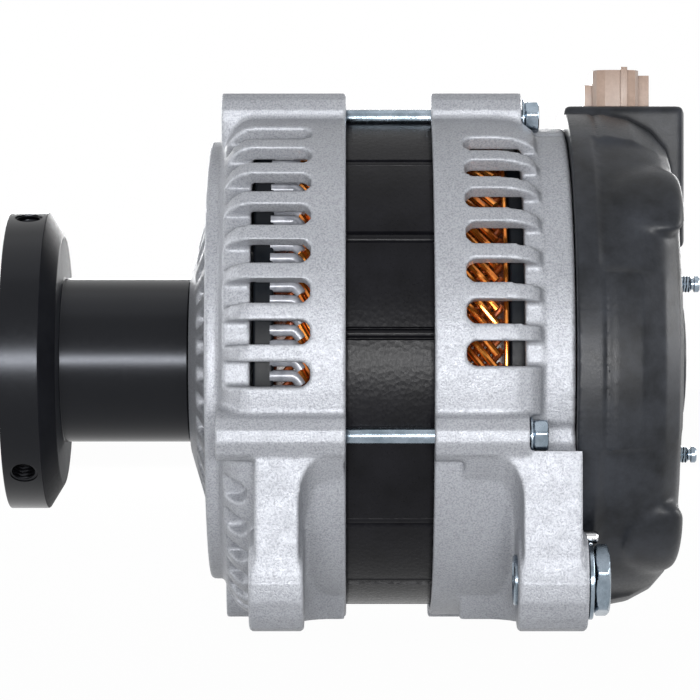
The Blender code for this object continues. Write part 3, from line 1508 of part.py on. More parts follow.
def edge_slot_cutter():
    """Curved slots near the edge of the cover's back."""
    bm = bmesh.new()
    inner = COVER_SLOT_RADIUS - COVER_SLOT_WIDTH / 2.0
    outer = COVER_SLOT_RADIUS + COVER_SLOT_WIDTH / 2.0
    half = COVER_SLOT_ARC / 2.0
    for slot in range(COVER_SLOTS):
        middle = 6.3 + slot * 360.0 / COVER_SLOTS
        ends = (middle - half, middle, middle + half)
        if not all(clear_of_raised(COVER_SLOT_RADIUS, angle) for angle in ends):
            continue
        angles = (middle - half, middle - half / 3.0, middle + half / 3.0, middle + half)
        near_row = [around(inner, angle) for angle in angles]
        far_row = [around(outer, angle) for angle in angles]
        yz_prism(bm, near_row + far_row[::-1], COVER_BACK - 6.0 * MM, COVER_BACK + 2.0 * MM)
    return cutter_object("cover_edge_slots", bm)


def back_vent_angles():
    angles = []
    for angle in even_angles(BACK_VENTS):
        if clear_of_raised(BACK_VENT_INNER, angle) and clear_of_raised(BACK_VENT_OUTER, angle):
            angles.append(angle)
    return angles


def make_cover_room():
    """The room inside the cover, less the posts that stand in it."""
    start = COVER_START + COVER_LIP
    room = turned_cutter("cover_room_inside", dome_profile(COVER_WALL, start), COVER_FACETS)
    add_to_dome(room, "room", COVER_WALL, start)
    mouth = rod_profile(COVER_START - MM, start + MM, COVER_LIP_INNER)
    join(room, turned_cutter("cover_mouth", mouth, COVER_FACETS))
    floor = COVER_BACK - STUD_RECESS - COVER_WALL
    post = [
        (COVER_START - 2.0 * MM, STUD_POST_RADIUS),
        (floor, STUD_POST_RADIUS),
        (floor, STUD_RECESS_RADIUS + COVER_WALL),
        (COVER_BACK, STUD_RECESS_RADIUS + COVER_WALL),
    ]
    cut(room, stepped_rods("stud_posts", stud_places(), post, POST_FACETS))
    return room


def make_rear_cover():
    cover = turned("rear_cover", dome_profile(0.0, COVER_START), COVER_FACETS, PLASTIC)
    add_to_dome(cover, "cover", 0.0, COVER_START)
    cut(cover, make_cover_room())
    cut(cover, edge_slot_cutter())
    vents = plate_slots(
        "cover_back_vents",
        back_vent_angles(),
        BACK_VENT_INNER,
        BACK_VENT_OUTER,
        BACK_VENT_WIDTH,
        COVER_BACK - 6.0 * MM,
        COVER_BACK + 2.0 * MM,
    )
    cut(cover, vents)
    seat = COVER_BACK - STUD_RECESS
    stud = [
        (COVER_START - MM, STUD_RADIUS + CLEAR),
        (seat, STUD_RADIUS + CLEAR),
        (seat, STUD_RECESS_RADIUS),
        (COVER_BACK + 5.0 * MM, STUD_RECESS_RADIUS),
    ]
    cut(cover, stepped_rods("cover_stud_holes", stud_places(), stud, POST_FACETS))
    bm = bmesh.new()
    xy_prism(bm, connector_outline(CLEAR), BOX_TOP - COVER_WALL - MM, BOX_TOP + MM)
    cut(cover, cutter_object("connector_hole", bm))
    bm = bmesh.new()
    centre = Vector((OUTPUT_X, OUTPUT_FACE - COVER_WALL / 2.0, OUTPUT_Z))
    lay = Matrix.Rotation(math.radians(90.0), 4, "X")
    bmesh.ops.create_cone(
        bm,
        cap_ends=True,
        segments=SMALL_FACETS,
        radius1=output_neck() + CLEAR,
        radius2=output_neck() + CLEAR,
        depth=COVER_WALL + 2.0 * MM,
        matrix=Matrix.Translation(centre) @ lay,
    )
    cut(cover, cutter_object("output_hole", bm))
    merge_flats(cover)
    return cover


def make_cover_studs():
    studs = []
    nuts = []
    seat = COVER_BACK - STUD_RECESS + CLEAR
    neck = STUD_TIP - 2.6 * MM
    for number, centre in enumerate(stud_places(), start=1):
        profile = [
            (REAR_WALL + CLEAR, 0.0),
            (REAR_WALL + CLEAR, STUD_RADIUS),
            (neck, STUD_RADIUS),
            (neck + 0.5 * MM, STUD_RADIUS * 0.72),
            (neck + 1.0 * MM, STUD_RADIUS * 0.94),
            (STUD_TIP, STUD_RADIUS * 0.85),
            (STUD_TIP, 0.0),
        ]
        name = str(number)
        bore = STUD_RADIUS + CLEAR
        studs.append(turned("cover_stud_" + name, profile, 8, ZINC, centre))
        nut = hex_nut("cover_nut_" + name, seat, STUD_NUT_LENGTH, STUD_NUT_FLATS, bore, centre, ZINC)
        nuts.append(nut)
    return studs + nuts


# Connector, regulator, brushes, rectifier and output terminal

def rounded_rectangle(x, y, width, depth, corner):
    """Corners of a rounded rectangle round (x, y)."""
    steps = 2
    points = []
    quarters = ((1.0, 1.0, 0.0), (-1.0, 1.0, 90.0), (-1.0, -1.0, 180.0), (1.0, -1.0, 270.0))
    for right, up, first in quarters:
        centre_x = x + right * (width / 2.0 - corner)
        centre_y = y + up * (depth / 2.0 - corner)
        for step in range(steps + 1):
            turn = math.radians(first + 90.0 * step / steps)
            points.append((centre_x + corner * math.cos(turn), centre_y + corner * math.sin(turn)))
    return points


def connector_outline(grow):
    width = CONNECTOR_WIDTH + 2.0 * grow
    depth = CONNECTOR_DEPTH + 2.0 * grow
    return rounded_rectangle(CONNECTOR_X, CONNECTOR_Y, width, depth, CONNECTOR_CORNER + grow)


def pin_ranges(number, grow):
    """The (x, y) ranges of one connector pin."""
    y = CONNECTOR_Y + (number - (PIN_COUNT - 1) / 2.0) * PIN_PITCH
    half_x = PIN_THICKNESS / 2.0 + grow
    half_y = PIN_WIDTH / 2.0 + grow
    return (CONNECTOR_X - half_x, CONNECTOR_X + half_x), (y - half_y, y + half_y)


def make_connector():
    """The pale plug socket: an oval shroud with side rails and a latch."""
    bottom = BOX_TOP - CONNECTOR_SUNK
    top = BOX_TOP + CONNECTOR_HEIGHT
    bm = bmesh.new()
    xy_prism(bm, connector_outline(0.0), bottom, top)
    shell = mesh_object("connector_shell", bm, BEIGE)
    left = CONNECTOR_X - CONNECTOR_WIDTH / 2.0
    right = CONNECTOR_X + CONNECTOR_WIDTH / 2.0
    near = CONNECTOR_Y - CONNECTOR_DEPTH / 2.0
    foot = BOX_TOP + CLEAR
    rail = (CONNECTOR_Y - CONNECTOR_DEPTH / 4.0, CONNECTOR_Y + CONNECTOR_DEPTH / 4.0)
    latch_x = (CONNECTOR_X + 1.2 * MM, CONNECTOR_X + 3.1 * MM)
    latch_y = (near - 1.1 * MM, near + 1.2 * MM)
    extras = (
        ("left_rail", (left - 2.1 * MM, left + MM), rail, top - 4.0 * MM),
        ("right_rail", (right - MM, right + 3.3 * MM), rail, top - 1.2 * MM),
        ("latch", latch_x, latch_y, top + 0.8 * MM),
    )
    for name, x_range, y_range, rail_top in extras:
        bm = bmesh.new()
        box(bm, x_range, y_range, (foot, rail_top))
        join(shell, cutter_object(name, bm))
    bm = bmesh.new()
    hollow = rounded_rectangle(
        CONNECTOR_X,
        CONNECTOR_Y,
        CONNECTOR_WIDTH - 2.0 * CONNECTOR_WALL,
        CONNECTOR_DEPTH - 2.0 * CONNECTOR_WALL,
        CONNECTOR_CORNER - CONNECTOR_WALL,
    )
    xy_prism(bm, hollow, bottom + 2.0 * MM, top + 2.0 * MM)
    cut(shell, cutter_object("connector_hollow", bm))
    slots = bmesh.new()
    pins = []
    for number in range(PIN_COUNT):
        box(slots, *pin_ranges(number, CLEAR), (bottom - MM, bottom + 3.0 * MM))
        bm = bmesh.new()
        pin_bottom = bottom - 1.5 * MM
        box(bm, *pin_ranges(number, 0.0), (pin_bottom, pin_bottom + PIN_HEIGHT))
        pins.append(mesh_object("connector_pin_" + str(number + 1), bm, BRASS))
    cut(shell, cutter_object("connector_pin_slots", slots))
    return [shell, *pins]


def make_regulator():
    """The regulator module under the connector, in the box."""
    top = BOX_TOP - CONNECTOR_SUNK - CLEAR
    wall = COVER_WALL + CLEAR
    bm = bmesh.new()
    box(
        bm,
        (RECTIFIER_START + MM, BOX_BACK - wall),
        (BOX_NEAR + wall, BOX_FAR - wall),
        (HOLDER_TOP + CLEAR, top),
    )
    body = mesh_object("regulator_body", bm, PLASTIC)
    slots = bmesh.new()
    for number in range(PIN_COUNT):
        box(slots, *pin_ranges(number, CLEAR), (top - 2.0 * MM, top + MM))
    cut(body, cutter_object("regulator_pin_slots", slots))
    return body


def make_brush_gear():
    """The brush holder with two sprung brushes that press on the rings."""
    half_y = BRUSH_WIDTH / 2.0 + CLEAR
    half_x = BRUSH_THICKNESS / 2.0 + CLEAR
    first = RING_CENTRES[0] - half_x - HOLDER_WALL
    last = RING_CENTRES[1] + half_x + HOLDER_WALL
    bm = bmesh.new()
    side = half_y + HOLDER_WALL
    box(bm, (first, last), (-side, side), (HOLDER_START, HOLDER_TOP))
    holder = mesh_object("brush_holder", bm, PLASTIC)
    channels = bmesh.new()
    for x in RING_CENTRES:
        z_range = (HOLDER_START - MM, SPRING_TOP + CLEAR)
        box(channels, (x - half_x, x + half_x), (-half_y, half_y), z_range)
    cut(holder, cutter_object("brush_channels", channels))
    brushes = []
    springs = []
    half_t = BRUSH_THICKNESS / 2.0
    half_w = BRUSH_WIDTH / 2.0
    for number, x in enumerate(RING_CENTRES, start=1):
        bm = bmesh.new()
        box(bm, (-half_t, half_t), (-half_w, half_w), (0.0, BRUSH_LENGTH))
        brush = mesh_object("brush_" + str(number), bm, CARBON)
        brush.location = (x, 0.0, BRUSH_BOTTOM)
        brushes.append(brush)
        springs.append(make_spring("brush_spring_" + str(number), x))
    return holder, brushes, springs


def make_spring(name, x):
    """A small coil spring standing on top of its brush."""
    curve = bpy.data.curves.new(name, "CURVE")
    curve.dimensions = "3D"
    curve.bevel_depth = SPRING_WIRE
    curve.bevel_resolution = 1
    curve.use_fill_caps = True
    points_per_turn = 7
    count = SPRING_TURNS * points_per_turn
    spline = curve.splines.new("POLY")
    spline.points.add(count)
    climb = SPRING_LENGTH - 2.0 * SPRING_WIRE
    for step in range(count + 1):
        turn = 2.0 * math.pi * step / points_per_turn
        along = SPRING_RADIUS * math.cos(turn)
        across = SPRING_RADIUS * math.sin(turn)
        z = SPRING_BOTTOM + SPRING_WIRE + climb * step / count
        spline.points[step].co = (x + along, across, z, 1.0)
    spring = bpy.data.objects.new(name, curve)
    curve.materials.append(STEEL)
    PARTS.objects.link(spring)
    return spring


def horseshoe(inner, outer):
    """Outline of a horseshoe plate."""
    steps = 12
    first, last = RECTIFIER_ARC
    inner_row = []
    outer_row = []
    for step in range(steps + 1):
        angle = first + (last - first) * step / steps
        inner_row.append(around(inner, angle))
        outer_row.append(around(outer, angle))
    return inner_row + outer_row[::-1]


def make_rectifier():
    """The horseshoe heat sink with its feet and diodes, and the terminal block."""
    start = RECTIFIER_START
    end = start + RECTIFIER_THICKNESS
    middle = (RECTIFIER_INNER + RECTIFIER_OUTER) / 2.0
    bm = bmesh.new()
    yz_prism(bm, horseshoe(RECTIFIER_INNER, RECTIFIER_OUTER), start, end)
    plate = mesh_object("rectifier_plate", bm, CAST)
    feet = [around(middle, angle) for angle in RECTIFIER_FOOT_ANGLES]
    foot_start = REAR_WALL_BACK + CLEAR
    join(plate, straight_holes("feet", feet, RECTIFIER_FOOT_RADIUS, foot_start, start + MM, 8))
    first, last = RECTIFIER_ARC
    margin = 16.0
    step = (last - first - 2.0 * margin) / (DIODE_COUNT - 1)
    diodes = [around(middle, first + margin + number * step) for number in range(DIODE_COUNT)]
    join(plate, straight_holes("diodes", diodes, DIODE_RADIUS, start + MM, end + DIODE_HEIGHT))
    block_start = end + DIODE_HEIGHT + CLEAR
    bm = bmesh.new()
    outline = horseshoe(RECTIFIER_INNER + MM, RECTIFIER_OUTER - 3.0 * MM)
    yz_prism(bm, outline, block_start, block_start + TERMINAL_BLOCK_THICKNESS)
    block = mesh_object("terminal_block", bm, PLASTIC)
    return plate, block


def output_neck():
    """Radius of the insulator where it passes the cover's wall."""
    return OUTPUT_STUD_RADIUS + CLEAR + 2.0 * MM


def make_output_terminal():
    """The output stud through the far bulge, with its insulator and nut.

    They are turned along X and then swung to point along +Y by their axis.
    """
    outside = OUTPUT_FACE + CLEAR
    inside = OUTPUT_FACE - COVER_WALL - CLEAR
    bore = OUTPUT_STUD_RADIUS + CLEAR
    collar_end = outside + OUTPUT_COLLAR
    inner_end = inside - OUTPUT_INNER_FLANGE
    insulator_profile = [
        (inner_end, bore),
        (inner_end, OUTPUT_HEAD_RADIUS),
        (inside, OUTPUT_HEAD_RADIUS),
        (inside, output_neck()),
        (outside, output_neck()),
        (outside, OUTPUT_COLLAR_RADIUS),
        (collar_end, OUTPUT_COLLAR_RADIUS - MM),
        (collar_end, bore),
    ]
    insulator = turned("output_insulator", insulator_profile, SMALL_FACETS, PLASTIC)
    head = inner_end - CLEAR
    tip = head + OUTPUT_STUD_LENGTH
    stud_profile = [
        (head - 2.0 * MM, 0.0),
        (head - 2.0 * MM, OUTPUT_HEAD_RADIUS),
        (head, OUTPUT_HEAD_RADIUS),
        (head, OUTPUT_STUD_RADIUS),
        (tip - 0.8 * MM, OUTPUT_STUD_RADIUS),
        (tip, OUTPUT_STUD_RADIUS - 0.8 * MM),
        (tip, 0.0),
    ]
    stud = turned("output_stud", stud_profile, SMALL_FACETS, ZINC)
    start = collar_end + CLEAR
    flats = OUTPUT_NUT_FLATS
    nut = hex_nut("output_nut", start, OUTPUT_NUT_LENGTH, flats, bore, (0.0, 0.0), ZINC)
    axis = make_empty("output_axis", (OUTPUT_X, 0.0, OUTPUT_Z))
    for piece in (insulator, stud, nut, bpy.data.objects["output_nut_bore"]):
        piece.parent = axis
    axis.rotation_euler = (0.0, 0.0, math.radians(90.0))


def make_empty(name, location=(0.0, 0.0, 0.0)):
    empty = bpy.data.objects.new(name, None)
    empty.location = location
    PARTS.objects.link(empty)
    return empty


def hold(name, pieces):
    """Parent pieces to an empty on the shaft's axis."""
    axis = make_empty(name)
    for piece in pieces:
        piece.parent = axis


def build():
    rotor = [make_drive_hub(), *make_set_screws(), make_shaft_nut(), make_hub_spacer()]
    rotor.append(make_rotor_shaft())
    rotor.append(make_pole("front_pole", POLE_START, 1, 0.0))
    rotor.append(make_pole("rear_pole", REAR_POLE_END, -1, 180.0 / CLAW_COUNT))
    rotor.append(make_field_coil())
    rotor.append(make_fan("front_fan", POLE_START - CLEAR - FAN_PLATE, -1, FRONT_FAN_BLADES))
    rotor.append(make_fan("rear_fan", REAR_POLE_END + CLEAR, 1, REAR_FAN_BLADES))
    rotor.extend(make_slip_rings())
    front_outer, front_inner, front_cage = make_bearing(
        "front",
        FRONT_BEARING_START,
        FRONT_BEARING_WIDTH,
        SHAFT_RADIUS,
        FRONT_BEARING_OUTER,
        FRONT_BALL_COUNT,
    )
    rear_outer, rear_inner, rear_cage = make_bearing(
        "rear",
        REAR_BEARING_START,
        REAR_BEARING_WIDTH,
        TAIL_RADIUS,
        REAR_BEARING_OUTER,
        REAR_BALL_COUNT,
    )
    rotor.extend((front_inner, rear_inner))
    hold("rotor_axis", rotor)
    hold("front_cage_axis", [front_cage])
    hold("rear_cage_axis", [rear_cage])
    fixed = [make_front_housing(), make_rear_housing(), make_stator_core(), make_winding()]
    fixed.extend(make_through_bolts())
    fixed.extend(make_retainer())
    fixed.extend(make_lug_bush())
    fixed.append(make_rear_cover())
    fixed.extend(make_cover_studs())
    fixed.extend(make_connector())
    fixed.append(make_regulator())
    holder, brushes, springs = make_brush_gear()
    fixed.append(holder)
    fixed.extend(springs)
    fixed.extend(make_rectifier())
    fixed.extend((front_outer, rear_outer))
    hold("housing_axis", fixed)
    make_output_terminal()


build()
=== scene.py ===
"""Looks of the generator alternator head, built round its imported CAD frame.

The shaft runs along X and the drive hub is at -X. Z is up, and the camera
looks along +Y. Round the shaft, angle 0 is at -Y and 90 is the top. Lengths
are in metres and angles in degrees.
"""

import math

import bmesh
import bpy
from mathutils import Matrix, Vector


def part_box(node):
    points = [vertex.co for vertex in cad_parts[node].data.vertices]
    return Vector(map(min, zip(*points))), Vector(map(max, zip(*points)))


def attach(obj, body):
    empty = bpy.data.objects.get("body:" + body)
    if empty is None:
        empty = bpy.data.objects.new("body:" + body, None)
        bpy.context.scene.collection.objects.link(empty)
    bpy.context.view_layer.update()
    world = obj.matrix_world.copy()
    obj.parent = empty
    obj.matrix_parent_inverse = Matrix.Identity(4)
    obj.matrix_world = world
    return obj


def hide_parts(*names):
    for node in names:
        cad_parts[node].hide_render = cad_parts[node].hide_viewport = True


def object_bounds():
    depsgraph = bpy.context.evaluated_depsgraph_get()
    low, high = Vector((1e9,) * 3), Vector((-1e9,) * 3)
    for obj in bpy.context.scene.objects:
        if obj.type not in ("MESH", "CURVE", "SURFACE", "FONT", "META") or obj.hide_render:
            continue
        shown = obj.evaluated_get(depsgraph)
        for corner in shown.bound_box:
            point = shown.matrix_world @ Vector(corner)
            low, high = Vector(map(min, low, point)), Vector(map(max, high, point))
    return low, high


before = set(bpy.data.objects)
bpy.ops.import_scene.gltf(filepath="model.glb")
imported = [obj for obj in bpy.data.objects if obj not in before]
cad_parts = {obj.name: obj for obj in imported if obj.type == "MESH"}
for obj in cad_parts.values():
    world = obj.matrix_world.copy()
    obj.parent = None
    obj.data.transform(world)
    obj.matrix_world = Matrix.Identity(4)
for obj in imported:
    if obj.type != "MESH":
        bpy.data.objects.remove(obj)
cad_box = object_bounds()

MM = 0.001

# Places and sizes taken from the frame
LOW = cad_box[0]
STATOR_LOW, STATOR_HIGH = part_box("stator_core")
WINDING_LOW, WINDING_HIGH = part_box("stator_winding")
HUB_LOW, HUB_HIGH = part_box("drive_hub")
STATOR_RADIUS = STATOR_HIGH.z
WINDING_RADIUS = WINDING_HIGH.z
HUB_RADIUS = (HUB_HIGH.z - HUB_LOW.z) / 2.0

# Camera of the photograph
PHOTO_CENTRE_X = 77.3 * MM
PHOTO_CENTRE_Z = 2.88 * MM
CAMERA_DISTANCE = 1022.4 * MM
CAMERA_LENS = 182.6
CAMERA_SENSOR = 36.0
CAMERA_CLIP = 0.05

# Stage
WORLD_GLOW = 0.02                # the background as a light; seen directly it is 1
FLOOR_TONE = 0.35
FLOOR_GLOW_SHARE = 0.98
FLOOR_GAP = 0.4 * MM
FLOOR_HALF_SIDE = 6.0
LAMPS = (                        # name, size, watts and place
    ("top_softbox", (1.0, 0.9), 1.1, (0.08, -0.05, 1.1)),
    ("front_strip", (1.2, 0.19), 25.0, (0.08, -1.3, 0.0)),
    ("back_strip", (1.2, 0.4), 16.0, (0.08, 1.35, 0.25)),
    ("hub_side", (0.9, 0.5), 9.0, (-1.3, 0.25, 0.25)),
    ("cover_side", (0.9, 0.5), 9.0, (1.45, 0.25, 0.25)),
)

# Segments round a form
HUB_STEPS = 192
BAND_STEPS = 192
COLLAR_STEPS = 144
WASHER_STEPS = 96
TERMINAL_STEPS = 64
ROD_STEPS = 48
HOLE_STEPS = 32
WIRE_STEPS = 10
ENAMEL_STEPS = 12

# Angles past which an edge is shaded sharp
SHARP = 35.0
SHARP_FASTENER = 32.0
SHARP_STATOR = 30.0
SHARP_PLUG = 40.0
SHARP_SKIN = 60.0

# Stator
FIRST_SEAM_ANGLE = -16.4         # at the lower near bolt
SEAM_COUNT = 16
SEAM_DEPTH = 1.0 * MM
SEAM_HALF_ANGLE = 1.15
BEAD_SHARE = 0.85                # of a seam's width
BEAD_HEIGHT = 0.8                # of a seam's depth
STATOR_EDGE = 0.35 * MM
SLOT_COUNT = 36
SLOT_SHARE = 0.46                # of the pitch between two slots
SLOT_WALL_ANGLE = 0.1
STATOR_STEP_ANGLE = 1.5
STATOR_BORE = STATOR_RADIUS - 18.2 * MM
SLOT_FLOOR = STATOR_BORE + 11.0 * MM

# Winding
STRANDS = 96
WIRE_RADIUS = 1.05 * MM
ENAMEL_RADIUS = 1.6 * MM
CROWN_RADIUS = WINDING_RADIUS - 1.7 * MM
CROWN_INNER = WINDING_RADIUS - 7.4 * MM
FRONT_UNDER_RADIUS = CROWN_RADIUS - 2.4 * MM
REAR_UNDER_RADIUS = CROWN_RADIUS - 2.2 * MM
INNER_LAYERS_RADIUS = CROWN_RADIUS - 2.9 * MM
BAND_RADIUS = CROWN_RADIUS + 0.6 * MM
BAND_WIRE_RADIUS = 0.7 * MM
ENAMEL_LENGTH = 8.2 * MM
HOOK_LENGTH = 2.8                # mm along the shaft
WIRE_SUNK = 0.4 * MM             # how far a wire's end goes into the core
FRONT_LEAN = 1.55                # degrees round the shaft for each mm along it
FRONT_UNDER_LEAN = 1.0
REAR_LEAN = 1.1
SHIFT_ANGLE = 1.0                # from one layer of strands to the next
COLLAR_EDGE = 0.8 * MM

# Rear cover
COVER_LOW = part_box("rear_cover")[0]
COVER_RADIUS = -COVER_LOW.z
COVER_BAND_END = COVER_LOW.x + 8.2 * MM
COVER_BACK = COVER_LOW.x + 29.8 * MM
COVER_BACK_RADIUS = COVER_RADIUS - 15.3 * MM
BULGE_ANGLES = ((20.0, 62.0), (-74.0, -20.0))
BULGE_INSET = 0.6 * MM
BULGE_INNER_RADIUS = 45.0 * MM
BULGE_ROOM = 4.0 * MM            # depth in which a bulge is eased down
BULGE_BLENDING = 70
SHOULDER_POWER = 8.0             # 2 would be an ellipse, more is squarer
CONNECTOR_BOX_BOTTOM = 30.0 * MM
CONNECTOR_BOX_SIDES = (-7.0 * MM, 35.0 * MM)
PLUG_EDGE = 0.35 * MM

# Hub
HUB_EDGE = 0.5 * MM
RIM_LENGTH = 11.0 * MM
TAPER_LENGTH = 4.2 * MM
TAPER_DEPTH = 6.9 * MM
BORE_RADIUS = 8.8 * MM
SOCKET_RADIUS = HUB_RADIUS - 22.6 * MM
SOCKET_STEP_RADIUS = SOCKET_RADIUS - 4.0 * MM
SOCKET_STEP_X = -7.0 * MM
SOCKET_FLOOR_X = 12.3 * MM
NECK_RADIUS = HUB_RADIUS - 19.1 * MM
NECK_CHAMFER = 1.1 * MM
SCREW_ANGLES = (72.0, -48.0, 192.0)
SCREW_PLACE = 6.0 * MM           # behind the hub's front

# Threads, each a radius and a pitch
SCREW_THREAD = (3.85 * MM, 1.25 * MM)
BOLT_THREAD = (2.22 * MM, 1.0 * MM)
STUD_THREAD = (2.38 * MM, 0.8 * MM)
OUTPUT_THREAD = (3.78 * MM, 1.25 * MM)

# Fasteners
BOLT_HEAD_LENGTH = 4.8 * MM
BOLT_THREAD_LENGTH = 12.0 * MM
BOLT_RADIUS = 2.2 * MM
SMALL_FLATS = 8.0 * MM           # of the bolts' heads and the studs' nuts
STUD_PLAIN_LENGTH = 30.0 * MM
STUD_RADIUS = 2.0 * MM
STUD_TIP_LENGTH = 2.4 * MM
BUSH_FLATS = 18.0 * MM
BUSH_HEAD_LENGTH = 4.2 * MM
BUSH_BORE_RADIUS = 5.0 * MM
SHANK_RADIUS = 6.9 * MM
WASHER_RADIUS = 10.6 * MM
WASHER_BORE_RADIUS = 7.3 * MM
OUTPUT_FLATS = 13.0 * MM

# Skins laid over the castings and the cover
CASTING_FACETS = 40
COVER_FACETS = 32
SKIN_VOXEL = 0.62 * MM
SKIN_SMOOTHING = 4
SKIN_TRIANGLES = 190000


# Node helpers

def new_material(name):
    """A material with its node tree and its shader."""
    made = bpy.data.materials.new(name)
    made.use_nodes = True
    return made, made.node_tree, made.node_tree.nodes["Principled BSDF"]


def object_noise(tree, scale, detail=3.0, roughness=0.6, stretch=None):
    """A noise pattern on object coordinates, stretched along an axis if asked."""
    place = tree.nodes.new("ShaderNodeTexCoord").outputs["Object"]
    if stretch is not None:
        mapping = tree.nodes.new("ShaderNodeMapping")
        mapping.inputs["Scale"].default_value = stretch
        tree.links.new(place, mapping.inputs["Vector"])
        place = mapping.outputs["Vector"]
    noise = tree.nodes.new("ShaderNodeTexNoise")
    noise.inputs["Scale"].default_value = scale
    noise.inputs["Detail"].default_value = detail
    noise.inputs["Roughness"].default_value = roughness
    tree.links.new(place, noise.inputs["Vector"])
    return noise.outputs["Fac"]


def math_node(tree, operation, *values):
    """The output of a math node whose inputs are numbers or other outputs."""
    node = tree.nodes.new("ShaderNodeMath")
    node.operation = operation
    for socket, value in zip(node.inputs, values):
        if isinstance(value, float):
            socket.default_value = value
        else:
            tree.links.new(value, socket)
    return node.outputs["Value"]


def object_cells(tree, scale):
    """A cell pattern on object coordinates."""
    place = tree.nodes.new("ShaderNodeTexCoord").outputs["Object"]
    cells = tree.nodes.new("ShaderNodeTexVoronoi")
    cells.inputs["Scale"].default_value = scale
    tree.links.new(place, cells.inputs["Vector"])
    return cells.outputs["Distance"]


def colour_ramp(tree, source, stops):
    """Colours by value, each stop a (value, colour)."""
    ramp = tree.nodes.new("ShaderNodeValToRGB")
    elements = ramp.color_ramp.elements
    while len(elements) < len(stops):
        elements.new(0.5)
    for element, (place, colour) in zip(elements, stops):
        element.position = place
        element.color = (*colour, 1.0)
    tree.links.new(source, ramp.inputs["Fac"])
    return ramp.outputs["Color"]


def map_range(tree, source, low, high, start=0.3, end=0.7):
    """Stretch the values from start to end so that they run from low to high."""
    node = tree.nodes.new("ShaderNodeMapRange")
    node.inputs["From Min"].default_value = start
    node.inputs["From Max"].default_value = end
    node.inputs["To Min"].default_value = low
    node.inputs["To Max"].default_value = high
    tree.links.new(source, node.inputs["Value"])
    return node.outputs["Result"]


def mix_colour(tree, factor, first, second, blend="MIX"):
    """Mix two colours. A colour mix has its factor and colours at inputs 0, 6 and 7."""
    node = tree.nodes.new("ShaderNodeMix")
    node.data_type = "RGBA"
    node.blend_type = blend
    sockets = (node.inputs[0], node.inputs[6], node.inputs[7])
    for socket, value in zip(sockets, (factor, first, second)):
        if isinstance(value, (float, int)):
            socket.default_value = value
        elif isinstance(value, tuple):
            socket.default_value = (*value, 1.0)
        else:
            tree.links.new(value, socket)
    return node.outputs[2]


def add_bump(tree, shader, heights):
    """Stack bumps, each (height, strength, distance), into the shader's normal."""
    normal = None
    for height, strength, distance in heights:
        bump = tree.nodes.new("ShaderNodeBump")
        bump.inputs["Strength"].default_value = strength
        bump.inputs["Distance"].default_value = distance
        tree.links.new(height, bump.inputs["Height"])
        if normal is not None:
            tree.links.new(normal, bump.inputs["Normal"])
        normal = bump.outputs["Normal"]
    tree.links.new(normal, shader.inputs["Normal"])


def plain_finish(
    name, dark, light, metallic, roughness, grain, bump, blotch=70.0, coat=0.0,
    stretch=None, specular=0.5, edge_tint=(1.0, 1.0, 1.0),
):
    """A finish with large blotches of tone, a fine grain, and its own bump.

    roughness is its lowest and highest value, grain a scale per metre, and bump
    the grain's (strength, distance).
    """
    made, tree, shader = new_material(name)
    large = object_noise(tree, blotch, 4.0)
    fine = object_noise(tree, grain, 3.0, 0.7, stretch)
    tone = colour_ramp(tree, large, ((0.35, dark), (0.65, light)))
    fleck = colour_ramp(tree, fine, ((0.3, (0.82, 0.82, 0.82)), (0.7, (1.0, 1.0, 1.0))))
    tree.links.new(mix_colour(tree, 1.0, tone, fleck, "MULTIPLY"), shader.inputs["Base Color"])
    tree.links.new(map_range(tree, fine, *roughness), shader.inputs["Roughness"])
    shader.inputs["Metallic"].default_value = metallic
    shader.inputs["Specular IOR Level"].default_value = specular
    shader.inputs["Specular Tint"].default_value = (*edge_tint, 1.0)
    shader.inputs["Coat Weight"].default_value = coat
    shader.inputs["Coat Roughness"].default_value = 0.12
    add_bump(tree, shader, [(fine, *bump)])
    return made


def cast_finish():
    """Blasted aluminium: pale, with a fine pitted grain and brighter worn edges."""
    dark, light = (0.34, 0.353, 0.383), (0.385, 0.398, 0.43)
    in_pits, on_edges = (0.62, 0.62, 0.63), (0.56, 0.58, 0.62)
    made, tree, shader = new_material("blasted_aluminium")
    large = object_noise(tree, 45.0, 4.0)
    pits = object_noise(tree, 1900.0, 2.0, 0.8)
    waves = object_noise(tree, 420.0, 3.0, 0.6)
    tone = colour_ramp(tree, large, ((0.3, dark), (0.7, light)))
    speck = colour_ramp(tree, pits, ((0.32, in_pits), (0.58, (1.0, 1.0, 1.0))))
    tone = mix_colour(tree, 1.0, tone, speck, "MULTIPLY")
    edges = tree.nodes.new("ShaderNodeNewGeometry").outputs["Pointiness"]
    worn = map_range(tree, edges, 0.0, 0.6, 0.52, 0.62)
    tone = mix_colour(tree, worn, tone, on_edges)
    tree.links.new(tone, shader.inputs["Base Color"])
    tree.links.new(map_range(tree, waves, 0.36, 0.5), shader.inputs["Roughness"])
    shader.inputs["Metallic"].default_value = 0.28
    shader.inputs["Specular IOR Level"].default_value = 0.2
    add_bump(tree, shader, [(waves, 0.3, 0.0002), (pits, 0.8, 0.00016)])
    return made


